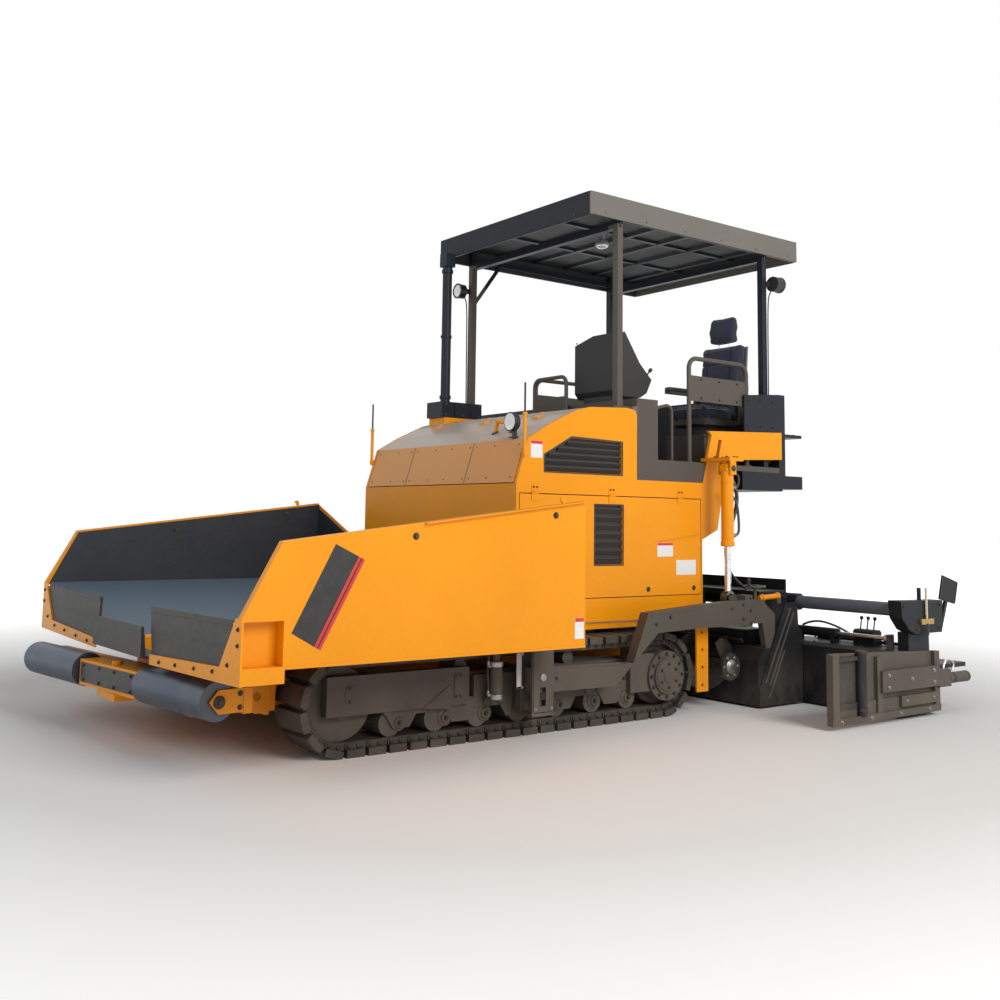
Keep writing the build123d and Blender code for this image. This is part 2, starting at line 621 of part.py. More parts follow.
half_post = post_w / 2
with BuildPart() as canopy_frame:
    for side in (-1, 1):
        y0 = side * (post_y - post_w)
        y1 = side * post_y
        add(block(post_front - half_post, post_front + half_post, y0, y1, deck_z - 2, roof_top - 40))
        add(block(post_back - half_post, post_back + half_post, y0, y1, floor_z, roof_top - 40))
        add(block(post_back, post_front, y0, y1, roof_low + 20, roof_low + 60))
        add(slab_y([(post_front + 60, deck_at(post_front + 60)), (-501, 2099), (post_front - 110, 2099),
                    (post_front - 110, 2117), (post_front + 60, 2117)], min(side * 800, side * post_y),
                   max(side * 800, side * post_y)))
    add(slab_y([(post_front, roof_low - 386), (post_front, roof_low - 336), (post_front - 270, roof_low + 30),
                (post_front - 310, roof_low + 30)], half_post - post_y - 15, half_post - post_y - 5))
    for post_x in (post_front, post_back):
        add(block(post_x - half_post, post_x + half_post, -post_y, post_y, roof_low - 46, roof_low + 4))
save("canopy_frame", canopy_frame.part)

# ---------------------------------------------------------------- exhaust, markers and lamps
stack_x = -85
stack_y = -705
with BuildPart() as exhaust:
    add(slab_y([(-390, deck_at(-390)), (-145, deck_at(-145)), (-40, deck_at(-40)), (-40, 2110), (-390, 2110)],
               -850, -640))
    add(block(-400, -10, -850, -640, 2110, 2235))
    add(rod((stack_x, stack_y, 2170), (stack_x, stack_y, roof_low - 96), 38))
    add(block(stack_x - 45, stack_x + 45, stack_y - 45, stack_y + 45, roof_low - 106, roof_low + 4))
save("exhaust", exhaust.part)

with BuildPart() as marker_rods:
    for side in (-1, 1):
        add(rod((430, side * 952, 1720), (430, side * 952, 2000), 12))
        add(rod((430, side * 952, 2000), (430, side * 952, 2200), 6))
save("marker_rods", marker_rods.part)

lamp_z = 3210
with BuildPart() as work_lamps:
    add(rod((post_back - 60, 930, lamp_z), (post_back - 150, 930, lamp_z), 60))
    add(block(post_back - 70, post_back - half_post, 890, 910, lamp_z - 20, lamp_z + 20))
    add(rod((post_front + 60, -930, lamp_z), (post_front + 120, -930, lamp_z), 60))
    add(block(post_front + half_post, post_front + 65, -910, -890, lamp_z - 20, lamp_z + 20))
save("work_lamps", work_lamps.part)

# ---------------------------------------------------------------- augers
with BuildPart() as auger_carrier:
    add(block(auger_x - 70, auger_x + 120, -85, 85, 215, 560))
    add(block(auger_x - 20, tail_x, -85, 85, 520, 640))
    add(block(tail_x, tail_x - 300, -500, 500, 600, 630))
save("auger_carrier", auger_carrier.part)

with BuildPart() as auger:
    add(rod((auger_x, auger_in, auger_z), (auger_x, auger_out, auger_z), auger_shaft_r))
    flight_start = Vector(auger_x, auger_in + 30, auger_z)
    with BuildLine() as flight_path:
        Helix(flight_pitch, auger_out - auger_in - 80, auger_shaft_r - 5, center=flight_start, direction=(0, 1, 0))
    with BuildSketch(Plane(origin=flight_path.line @ 0, x_dir=(flight_path.line @ 0) - flight_start,
                           z_dir=flight_path.line % 0)):
        with Locations(((auger_r - auger_shaft_r + 5) / 2, 0)):
            Rectangle(auger_r - auger_shaft_r + 5, 14)
    sweep(is_frenet=True)
    add(rod((auger_x, auger_out - 15, auger_z), (auger_x, auger_out + 12, auger_z), auger_disc_r))
save_pair("auger", auger.part)

# ---------------------------------------------------------------- tow slides
slide_back = tow_x - 88
slide_front = tow_x + 79
slide_top = 575
jack_x = tow_x + 254         # levelling cylinder in front of the slide
with BuildPart() as tow_slides:
    for side in (-1, 1):
        add(block(slide_back, slide_back + 30, side * 1118, side * 1168, 140, 620))
        add(block(slide_front - 30, slide_front, side * 1118, side * 1168, 140, slide_top))
        add(block(slide_back, slide_front, side * 1118, side * 1130, 140, slide_top))
        add(block(slide_back, slide_front, side * 1118, side * 1280, slide_top - 20, slide_top))
        add(block(slide_back, slide_front, side * 1118, side * 1280, 140, 160))
        add(block(slide_back, slide_back + 20, side * 1266, side * 1280, 160, slide_top))
        add(block(slide_front - 20, slide_front, side * 1266, side * 1280, 160, slide_top))
        add(block(hood_x - 140, slide_back + 30, side * 915, side * 1130, 600, 620))
        add(rod((tow_x, side * 1130, tow_z), (tow_x, side * 1272, tow_z), 30))
        add(rod((jack_x, side * 1150, 240), (jack_x, side * 1150, 470), 40))
        add(rod((jack_x, side * 1150, 470), (jack_x, side * 1150, slide_top), 25))
        add(block(slide_front, jack_x + 30, side * 1120, side * 1180, slide_top - 20, slide_top))
save("tow_slides", tow_slides.part)

# ---------------------------------------------------------------- screed
arm_out = arm_in + arm_t
arm_outline = [(593, 275), (593, 425), (-250, 401), (-386, 715), (-914, 751), (-1365, 772), (-1365, 592),
               (-912, 596), (-478, 582), (-91, 267)]
wheel_stem_x = -1500         # hand wheel over the arm's clevis
with BuildPart() as tow_arm:
    add(slab_y(arm_outline, arm_in, arm_out))
    add(rod((tow_x, arm_in - 1, tow_z), (tow_x, arm_out + 1, tow_z), 30.5), mode=Mode.SUBTRACT)
    add(block(lift_pin_x - 40, lift_pin_x + 40, arm_in - 12, arm_in, 700, 800))
    add(rod((lift_pin_x, arm_in, lift_eye_z), (lift_pin_x, lift_y - 40, lift_eye_z), 20))
    add(slab_y([(-1350, 583), (-1350, 805), (-1425, 805), (-1425, 583)], arm_in - 8, arm_out))
    add(slab_y([(-1420, 600), (-1420, 780), (-1560, 760), (-1700, 660), (-1700, screed_top), (-1600, screed_top),
                (-1560, 600)], arm_in + 8, screed_y - 18))
    add(rod((wheel_stem_x, 1217, 755), (wheel_stem_x, 1217, 870), 12))
    add(rod((wheel_stem_x, 1217, 856), (wheel_stem_x, 1217, 870), 75, 62))
    add(block(wheel_stem_x - 70, wheel_stem_x + 70, 1210, 1224, 858, 868))
save_pair("tow_arm", tow_arm.part)

with BuildPart() as screed_main:
    add(slab_y([(screed_front, screed_low), (screed_front, 330), (screed_front - 60, screed_top),
                (screed_back, screed_top), (screed_back, screed_low)], -screed_y + 15, screed_y - 15))
    for side in (-1, 1):
        plate_out = side * screed_y
        plate_in = side * (screed_y - 15)
        add(slab_y([(screed_front, screed_low), (screed_front, 140), (-1800, 735), (-1935, 735), (-1945, 555),
                    (screed_back, 533), (screed_back, screed_low)], min(plate_in, plate_out), max(plate_in, plate_out)))
        add(slab_y([(-1720, 400), (-1720, 800), (screed_back, 800), (screed_back, 400)],
                   min(side * 1100, side * 1120), max(side * 1100, side * 1120)))
        for bracket_y in (300, 1110):
            add(block(-1930, screed_back, side * bracket_y - 10, side * bracket_y + 10, screed_top, tube_z + 45))
        add(rod((tube_x, side * 210, tube_z), (tube_x, side * 1188, tube_z), 62, tube_r + 0.5))
        add(block(screed_back, -2440, side * 110, side * 165, 240, 290))
    add(block(-1650, -1950, -1130, 1130, 800, 815))
    add(block(-1950, -1962, -1130, 1130, 800, 900))
    add(block(-2440, walk_back, -980, 980, 240, 268))
save("screed_main", screed_main.part)

box_in = ext_out + 60 - end_box_w - 5
with BuildPart() as extension:
    add(slab_y([(ext_front, screed_low), (ext_front, ext_top - 20), (ext_front - 40, ext_top), (ext_back + 20, ext_top),
                (ext_back, ext_top - 50), (ext_back, screed_low)], ext_in, ext_out))
    add(rod((tube_x, ext_in + 10, tube_z), (tube_x, box_in + 20, tube_z), tube_r))
    add(slab_y([(-1963, 800), (-2473, 793), (-2461, 571), (-2140, 571), (-2060, 600), (-1980, 680)],
               box_in, box_in + end_box_w))
    add(block(-2140, -2390, ext_out - 90, ext_out - 5, ext_top - 2, 575))
    add(rod((-2250, ext_out, 560), (-2250, ext_out, 640), 75))
    add(rod((-2270, ext_out, 790), (-2270, ext_out, 880), 14))
    add(block(ext_back, -2440, ext_in + 60, ext_out - 60, 300, 360))
    add(block(-2440, walk_ext_back, ext_in + 10, ext_out - 20, 300, 328))
    add(slab_y([(-2455, 580), (-2485, 580), (-2590, 830), (-2560, 830)], ext_out + 20, ext_out + 40))
    add(slab_y([(-2465, 799), (-2513, 966), (-2703, 913), (-2655, 759)], ext_out + 28, ext_out + 40))
save_pair("extension", extension.part)

with BuildPart() as end_gate:
    add(slab_y([(gate_front, 30), (gate_front, 485), (gate_back, 440), (gate_back, 30)], gate_y, gate_y + 12))
    add(block(gate_front, gate_back, gate_y, gate_y + 45, 30, 75))
    add(block(gate_front, gate_back, gate_y, gate_y + 25, 75, 160))
    add(block(gate_front, gate_front - 65, gate_y, gate_y + 50, 75, 480))
    add(block(gate_front - 65, gate_front - 420, gate_y, gate_y + 35, 430, 455))
    add(rod((gate_front - 325, gate_y + 36, 75), (gate_front - 325, gate_y + 36, 490), 34))
    for rib_x in (-1700, -2380):
        add(block(rib_x, rib_x - 60, gate_y, gate_y + 40, 75, 440))
    add(block(-1730, -2410, gate_y + 12, gate_y + 60, 205, 345))
    add(block(-1960, -2400, gate_y + 12, gate_y + 50, 95, 165))
    add(block(-2410, -2560, gate_y, gate_y + 55, 190, 310))
    add(rod((-2560, gate_y + 20, 240), (-2810, gate_y + 20, 240), 38))
save_pair("end_gate", end_gate.part)

# ---------------------------------------------------------------- lift cylinders
lift_pin = (lift_pin_x, lift_pin_z)
lift_eye = (lift_pin_x, lift_eye_z)


def to_lift_plane(part):
    """From the local XZ plane to the lift cylinder's plane."""
    return part.move(Location((0, lift_y, 0)))


save_pair("lift_barrel", to_lift_plane(cylinder_barrel(lift_pin, lift_eye, 45, 24 + rod_gap, 560, 60)))
save_pair("lift_rod", to_lift_plane(cylinder_rod(lift_pin, lift_eye, 24, 310, 50, 52, 36)))
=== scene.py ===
import json
import math
from itertools import product

import bmesh
import bpy
from mathutils import Matrix, Vector


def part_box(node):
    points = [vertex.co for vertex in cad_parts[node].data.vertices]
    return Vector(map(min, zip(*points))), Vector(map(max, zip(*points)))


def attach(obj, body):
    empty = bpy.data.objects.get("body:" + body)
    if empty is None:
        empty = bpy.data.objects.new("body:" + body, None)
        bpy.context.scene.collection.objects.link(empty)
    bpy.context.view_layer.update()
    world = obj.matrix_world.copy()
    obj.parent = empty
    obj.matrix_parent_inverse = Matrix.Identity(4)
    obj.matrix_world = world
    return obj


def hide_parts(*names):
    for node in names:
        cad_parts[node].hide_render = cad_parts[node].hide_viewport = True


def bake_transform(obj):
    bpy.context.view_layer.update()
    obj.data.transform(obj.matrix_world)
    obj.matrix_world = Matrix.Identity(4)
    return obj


# Looks and small details of the tracked asphalt paver, in metres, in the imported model's own frame:
# +X is the travel direction, +Y the left side, +Z up.
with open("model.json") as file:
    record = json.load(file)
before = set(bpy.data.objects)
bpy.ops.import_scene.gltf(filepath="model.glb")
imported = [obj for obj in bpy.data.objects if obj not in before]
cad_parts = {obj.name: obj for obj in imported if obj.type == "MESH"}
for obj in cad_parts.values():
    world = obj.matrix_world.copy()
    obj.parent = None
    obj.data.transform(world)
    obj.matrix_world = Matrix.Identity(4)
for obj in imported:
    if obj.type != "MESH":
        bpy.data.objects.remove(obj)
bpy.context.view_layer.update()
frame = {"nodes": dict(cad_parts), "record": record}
scene = bpy.context.scene
SIDES = (("left", 1), ("right", -1))


# ---------------------------------------------------------------- camera
def aimed(yaw, pitch, roll):
    """Rotation of a camera that looks along a heading, with +Z up."""
    ahead = Vector((math.cos(yaw) * math.cos(pitch), math.sin(yaw) * math.cos(pitch), math.sin(pitch)))
    right = ahead.cross(Vector((0, 0, 1))).normalized()
    up = right.cross(ahead)
    side = right * math.cos(roll) + up * math.sin(roll)
    top = up * math.cos(roll) - right * math.sin(roll)
    turn = Matrix((side, top, -ahead)).transposed()
    return turn.to_euler()


camera_data = bpy.data.cameras.new("camera")
camera_data.sensor_width = 36.0
camera_data.lens = 39.77
camera_data.shift_x = 0.0179
camera_data.shift_y = -0.0953
camera_data.clip_start = 0.1
camera_data.clip_end = 200.0
camera = bpy.data.objects.new("camera", camera_data)
camera.location = (4.8912, 6.4982, 1.2973)
camera.rotation_euler = aimed(4.0741, 0.1052, 0.0155)
scene.collection.objects.link(camera)
scene.camera = camera


# ---------------------------------------------------------------- material helpers
def shade(color, by):
    """A colour made darker or brighter."""
    return tuple(min(1.0, by * c) for c in color)


class Nodes:
    """A small helper that builds one node material; a value is a number, a tuple or another node's output."""

    def __init__(self, name):
        self.material = bpy.data.materials.new(name + "_look")
        self.material.use_nodes = True
        self.tree = self.material.node_tree
        self.tree.nodes.clear()
        self.shader = self.node("BsdfPrincipled")
        self.node("OutputMaterial", Surface=self.shader.outputs["BSDF"])
        self.coords = self.node("TexCoord").outputs

    def put(self, socket, value):
        """Link a socket or set it; a colour is given without alpha."""
        if isinstance(value, bpy.types.NodeSocket):
            self.tree.links.new(value, socket)
        else:
            socket.default_value = (*value, 1) if socket.type == "RGBA" else value

    def fill(self, node, **inputs):
        """Set or link a node's inputs, whose names are written with underscores."""
        for key, value in inputs.items():
            self.put(node.inputs[key.replace("_", " ")], value)
        return node

    def node(self, kind, **inputs):
        return self.fill(self.tree.nodes.new("ShaderNode" + kind), **inputs)

    def math(self, operation, *values, clamp=False):
        node = self.node("Math")
        node.operation, node.use_clamp = operation, clamp
        for socket, value in zip(node.inputs, values):
            self.put(socket, value)
        return node.outputs[0]

    def times(self, *values, clamp=False):
        return self.math("MULTIPLY", *values, clamp=clamp)

    def mix(self, fac, a, b):
        node = self.node("Mix")
        node.data_type = "RGBA"
        for index, value in ((0, fac), (6, a), (7, b)):
            self.put(node.inputs[index], value)
        return node.outputs[2]

    def scaled(self, scale, turn=0.0):
        return self.node("Mapping", Rotation=(0, 0, turn), Scale=scale,
                         Vector=self.coords["Object"]).outputs["Vector"]

    def axis(self, name, normal=False):
        return self.node("SeparateXYZ", Vector=self.coords["Normal" if normal else "Object"]).outputs[name]

    def span(self, value, low, high):
        """0 below low, 1 above high."""
        return self.node("MapRange", Value=value, From_Min=low, From_Max=high).outputs["Result"]

    def noise(self, scale, detail=4.0, rough=0.55, vector=None):
        return self.node("TexNoise", Scale=scale, Detail=detail, Roughness=rough,
                         Vector=vector or self.coords["Object"]).outputs["Fac"]

    def blotches(self, scale, detail, rough, low, high):
        """Noise cut into soft blotches."""
        return self.span(self.noise(scale, detail, rough), low, high)

    def wave(self, direction, scale, distortion=0.0):
        node = self.node("TexWave", Scale=scale, Distortion=distortion, Vector=self.coords["Object"])
        node.bands_direction = direction
        return node.outputs["Fac"]

    def inside(self, low, high):
        """1 inside a box; the second axis is taken without its sign, so both sides match."""
        mask = 1.0
        for axis, lowest, highest in zip("XYZ", low, high):
            value = self.axis(axis)
            if axis == "Y":
                value = self.math("ABSOLUTE", value)
            for test, limit in (("GREATER_THAN", lowest), ("LESS_THAN", highest)):
                mask = self.times(mask, self.math(test, value, limit))
        return mask

    def edge(self, radius):
        """1 on sharp edges, 0 elsewhere."""
        bevel = self.node("Bevel", Radius=radius)
        bevel.samples = 4
        dot = self.node("VectorMath")
        dot.operation = "DOT_PRODUCT"
        self.put(dot.inputs[0], bevel.outputs[0])
        self.put(dot.inputs[1], self.node("NewGeometry").outputs["Normal"])
        return self.math("SUBTRACT", 1.0, dot.outputs["Value"], clamp=True)

    def bump(self, height, strength, distance, **normal):
        return self.node("Bump", Strength=strength, Distance=distance, Height=height,
                         **normal).outputs["Normal"]

    def finish(self, color, rough, **more):
        self.fill(self.shader, Base_Color=color, Roughness=rough, **more)
        return self.material


DUST = (0.3, 0.25, 0.19)


def paint(name, base, rough=0.38, bare=(0.12, 0.11, 0.1), dust_top=0.8, dust_most=0.35, wear=0.4, coat=0.0,
          painted_top_sheen=None, patches=()):
    """Machine paint with orange peel, colour drift, dust low down and worn edges.

    The colour given for faces that look up is a painted sky reflection, made patchy by noise; patches are
    (low, high, colour) boxes.
    """
    n = Nodes(name)
    color = n.mix(n.blotches(1.3, 3.0, 0.55, 0.3, 0.7), shade(base, 0.9), base)
    for low, high, patch in patches:
        color = n.mix(n.inside(low, high), color, patch)
    color = n.mix(n.times(n.blotches(60.0, 5.0, 0.6, 0.45, 0.75), 0.12), color, shade(base, 0.6))
    streak = n.noise(2.4, 6.0, 0.62, n.scaled((1.6, 1.6, 0.9)))
    low = n.math("SUBTRACT", 1.0, n.span(n.axis("Z"), 0.05, dust_top))
    dirt = n.times(n.times(n.span(streak, 0.36, 0.74), low), dust_most, clamp=True)
    color = n.mix(dirt, color, DUST)
    # painted sky reflection: faces that look up are mixed towards a pale colour, in patches
    if painted_top_sheen:
        patchy = n.math("ADD", 0.72, n.times(n.noise(3.0, 5.0, 0.6), 0.45))
        color = n.mix(n.times(n.span(n.axis("Z", True), 0.05, 0.8), patchy, clamp=True), color, painted_top_sheen)
    edge = n.times(n.span(n.edge(0.004), 0.02, 0.25), n.blotches(25.0, 6.0, 0.7, 0.5, 0.62))
    color = n.mix(n.times(edge, wear), color, bare)
    shine = n.math("ADD", rough - 0.05, n.times(n.noise(9.0, 4.0), 0.12))
    shine = n.math("ADD", shine, n.times(dirt, 0.4), clamp=True)
    peel = n.bump(n.noise(420.0, 2.0), 0.05, 0.0005)
    return n.finish(color, shine, Normal=n.bump(n.noise(2.2, 1.0), 0.04, 0.015, Normal=peel),
                    Coat_Weight=coat, Coat_Roughness=0.15, Specular_IOR_Level=0.22)


def steel(name, base, rough=0.45, metallic=0.85, rust_most=0.3, grain=(1, 1, 1), dust_most=0.25, floor=None):
    """Bare or worn steel with scratches, a rust tint and dust; floor is the colour of faces that look up,
    painted light from the sky on them.
    """
    n = Nodes(name)
    scratch = n.noise(90.0, 6.0, 0.7, n.scaled(grain))
    color = n.mix(n.span(scratch, 0.4, 0.7), shade(base, 0.8), shade(base, 1.2))
    # faces that look up take the floor colour: painted skylight, paler and bluer than the same steel on the
    # walls
    if floor:
        color = n.mix(n.span(n.axis("Z", True), 0.6, 0.8), color, floor)
    color = n.mix(n.times(n.blotches(11.0, 8.0, 0.7, 0.5, 0.75), rust_most), color, (0.16, 0.09, 0.05))
    color = n.mix(n.times(n.blotches(3.0, 5.0, 0.6, 0.42, 0.7), dust_most), color, (0.24, 0.2, 0.15))
    shine = n.math("ADD", rough - 0.1, n.times(scratch, 0.25), clamp=True)
    return n.finish(color, shine, Normal=n.bump(scratch, 0.2, 0.0008), Metallic=metallic)


def soft(name, base, rough, grain_scale, strength, dust_most=0.2, bright=1.3):
    """Rubber, plastic and other dull moulded stuff."""
    n = Nodes(name)
    grain = n.noise(grain_scale, 5.0, 0.6)
    color = n.mix(n.blotches(4.0, 6.0, 0.65, 0.35, 0.7), base, shade(base, bright))
    color = n.mix(n.times(n.blotches(14.0, 6.0, 0.7, 0.5, 0.75), dust_most), color, (0.33, 0.28, 0.22))
    shine = n.math("ADD", rough - 0.08, n.times(grain, 0.16), clamp=True)
    return n.finish(color, shine, Normal=n.bump(grain, strength, 0.0008))


def woven(name, base, pale):
    """Seat cloth: two crossed threads, slightly fuzzy, paler on the sides."""
    n = Nodes(name)
    weave = n.math("MAXIMUM", n.wave("X", 160.0, 1.5), n.wave("Y", 160.0, 1.5))
    color = n.mix(n.span(weave, 0.2, 0.9), shade(base, 0.6), shade(base, 1.5))
    color = n.mix(n.times(n.blotches(6.0, 5.0, 0.6, 0.45, 0.8), 0.25), color, (0.09, 0.085, 0.08))
    color = n.mix(n.span(n.math("ABSOLUTE", n.axis("Y", True)), 0.72, 0.9), color, pale)
    return n.finish(color, 0.88, Normal=n.bump(weave, 0.35, 0.0008), Sheen_Weight=0.25, Sheen_Roughness=0.5)


def tread(name, base, dust_most):
    """Painted chequer plate: short raised bars laid crosswise."""
    n = Nodes(name)
    bars = []
    for turn in (45, -45):
        cells = n.node("TexVoronoi", Scale=1.0, Randomness=0.0,
                       Vector=n.scaled((38.0, 15.0, 15.0), math.radians(turn))).outputs["Distance"]
        bars.append(n.math("SUBTRACT", 1.0, n.span(cells, 0.18, 0.3)))
    raised = n.math("MAXIMUM", *bars)
    color = n.mix(n.blotches(5.0, 6.0, 0.6, 0.35, 0.7), base, shade(base, 1.3))
    worn = n.times(raised, n.blotches(3.0, 4.0, 0.55, 0.45, 0.7))
    color = n.mix(n.times(worn, 0.35), color, (0.22, 0.21, 0.2))
    color = n.mix(n.times(n.blotches(8.0, 6.0, 0.65, 0.4, 0.7), dust_most), color, (0.28, 0.24, 0.18))
    return n.finish(color, 0.55, Normal=n.bump(raised, 0.5, 0.002))


def lens(name, tint):
    """Ribbed lamp glass with a pale reflector behind it."""
    n = Nodes(name)
    ribs = n.wave("Y", 45.0)
    color = n.mix(n.span(ribs, 0.1, 0.9), shade(tint, 0.75), tint)
    return n.finish(color, 0.12, Normal=n.bump(ribs, 0.4, 0.001), Metallic=0.25, Coat_Weight=1.0,
                    Coat_Roughness=0.03)


# ---------------------------------------------------------------- shape helpers
RIVET = [(-0.001, 0.006), (0.001, 0.006), (0.0025, 0.003)]
ROOF_RIVET = [(-0.001, 0.007), (0.001, 0.007), (0.003, 0.004)]


def spokes(out, count, first=0.0):
    """An axis and the rays spread evenly round it; first is the first one's share of a step."""
    axis = Vector(out).normalized()
    right = axis.orthogonal().normalized()
    up = axis.cross(right)
    turns = [2 * math.pi * (step + first) / count for step in range(count)]
    return axis, [right * math.cos(turn) + up * math.sin(turn) for turn in turns]


class Shape:
    """A closed mesh put together from prisms and turned bars."""

    def __init__(self):
        self.mesh = bmesh.new()

    def prism(self, outline, axis, low, high):
        """An outline carried along an axis: X takes (y, z) points, Y takes (x, z), Z takes (x, y)."""
        at = "XYZ".index(axis)
        self.skin([[self.mesh.verts.new((*pair[:at], along, *pair[at:])) for pair in outline]
                   for along in (low, high)])

    def band(self, first, last):
        for i in range(len(first)):
            j = (i + 1) % len(first)
            self.mesh.faces.new((first[i], first[j], last[j], last[i]))

    def skin(self, rings):
        """Faces between rings of equally many points, with a cap at each end."""
        for first, last in zip(rings, rings[1:]):
            self.band(first, last)
        self.mesh.faces.new(tuple(reversed(rings[0])))
        self.mesh.faces.new(tuple(rings[-1]))

    def box(self, x0, x1, y0, y1, z0, z1):
        self.prism([(x0, y0), (x1, y0), (x1, y1), (x0, y1)], "Z", z0, z1)

    def turned(self, start, out, profile, sides=24):
        """A turned body: profile holds (distance along out, radius) steps from start."""
        axis, rays = spokes(out, sides, 0.5)
        self.skin([[self.mesh.verts.new(Vector(start) + axis * along + ray * radius) for ray in rays]
                   for along, radius in profile])

    def rod(self, start, end, radius, sides=20):
        length = (Vector(end) - Vector(start)).length
        edge = min(radius * 0.2, length * 0.2)
        self.turned(start, Vector(end) - Vector(start), [(0, radius - edge), (edge, radius),
                                                         (length - edge, radius), (length, radius - edge)],
                    sides)

    def bolt(self, place, out, size=0.012):
        """A hexagon head on a washer; size is the head's half width."""
        self.turned(place, out, [(-0.002, 1.5 * size), (0.002, 1.5 * size), (0.003, 1.4 * size)], 16)
        self.turned(place, out, [(0.003, size), (0.003 + 0.6 * size, size),
                                 (0.003 + 0.8 * size, 0.85 * size)], 6)

    def ring(self, centre, out, inner, outer, depth, sides=28):
        """A flat ring whose section is a rectangle with broken edges."""
        axis, rays = spokes(out, sides)
        cut = 0.2 * min(depth, outer - inner)
        section = [(0, inner), (0, outer - cut), (cut, outer), (depth - cut, outer), (depth, outer - cut),
                   (depth, inner)]
        self.loop([[self.mesh.verts.new(Vector(centre) + axis * a + ray * r) for a, r in section]
                   for ray in rays])

    def loop(self, rings):
        """Faces between rings of equally many points, with the last ring joined to the first."""
        for first, last in zip(rings, rings[1:] + rings[:1]):
            self.band(first, last)

    def bolts(self, places, out, size=0.012):
        for place in places:
            self.bolt(place, out, size)


SHARP = math.radians(32)         # faces that meet at more than this show a hard edge
SOFTEN_FROM = math.radians(40)   # edges sharper than this get a small bevel


def piece(name, shape, body, slot, bevel=0.0, look=None):
    """Turn a shape into a piece that rides on a body."""
    mesh = bpy.data.meshes.new(name)
    bmesh.ops.recalc_face_normals(shape.mesh, faces=shape.mesh.faces)
    shape.mesh.to_mesh(mesh)
    shape.mesh.free()
    obj = bpy.data.objects.new(name, mesh)
    scene.collection.objects.link(obj)
    mesh.materials.append(looks[look or slot])
    mesh.shade_smooth()
    mesh.set_sharp_from_angle(angle=SHARP)
    if bevel:
        soften = obj.modifiers.new("soften", "BEVEL")
        soften.width = bevel
        soften.segments = 2
        soften.limit_method = "ANGLE"
        soften.angle_limit = SOFTEN_FROM
    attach(obj, body)
    return obj


def hose(name, points, radius, body, look="hose_rubber"):
    """A hose or tube along a smooth line through a few control points."""
    curve = bpy.data.curves.new(name, "CURVE")
    curve.dimensions = "3D"
    spline = curve.splines.new("NURBS")
    spline.points.add(len(points) - 1)
    for point, place in zip(spline.points, points):
        point.co = (*place, 1.0)
    spline.order_u = 3
    spline.use_endpoint_u = True
    spline.resolution_u = 10
    curve.bevel_depth = radius
    curve.bevel_resolution = 4
    curve.use_fill_caps = True
    obj = bpy.data.objects.new(name, curve)
    scene.collection.objects.link(obj)
    curve.materials.append(looks[look])
    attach(obj, body)
    return obj


def as_mesh(obj):
    """Turn a curve piece into a plain mesh that is on no body yet."""
    graph = bpy.context.evaluated_depsgraph_get()
    mesh = bpy.data.meshes.new_from_object(obj.evaluated_get(graph))
    name, materials = obj.name, list(obj.data.materials)
    bpy.data.objects.remove(obj)
    made = bpy.data.objects.new(name, mesh)
    scene.collection.objects.link(made)
    mesh.materials.clear()
    mesh.materials.append(materials[0])
    mesh.shade_smooth()
    return made


def shapes(count):
    """So many empty shapes."""
    return [Shape() for _ in range(count)]


def grid(*axes):
    """Every place made up of the given coordinates; a bare number stands for a list of one."""
    return product(*(axis if isinstance(axis, tuple) else (axis,) for axis in axes))


def sided(s, points):
    """Points given for the left side, put on the side s."""
    return [(x, s * y, z) for x, y, z in points]


def around(x, z, radius, count, first=0.0):
    """Places on a circle in X and Z; first is the first one's share of a step."""
    for step in range(count):
        turn = 2 * math.pi * (step + first) / count
        yield x + radius * math.cos(turn), z + radius * math.sin(turn)


def lean(start, end, share):
    """A point between two others."""
    return tuple(a + (b - a) * share for a, b in zip(start, end))


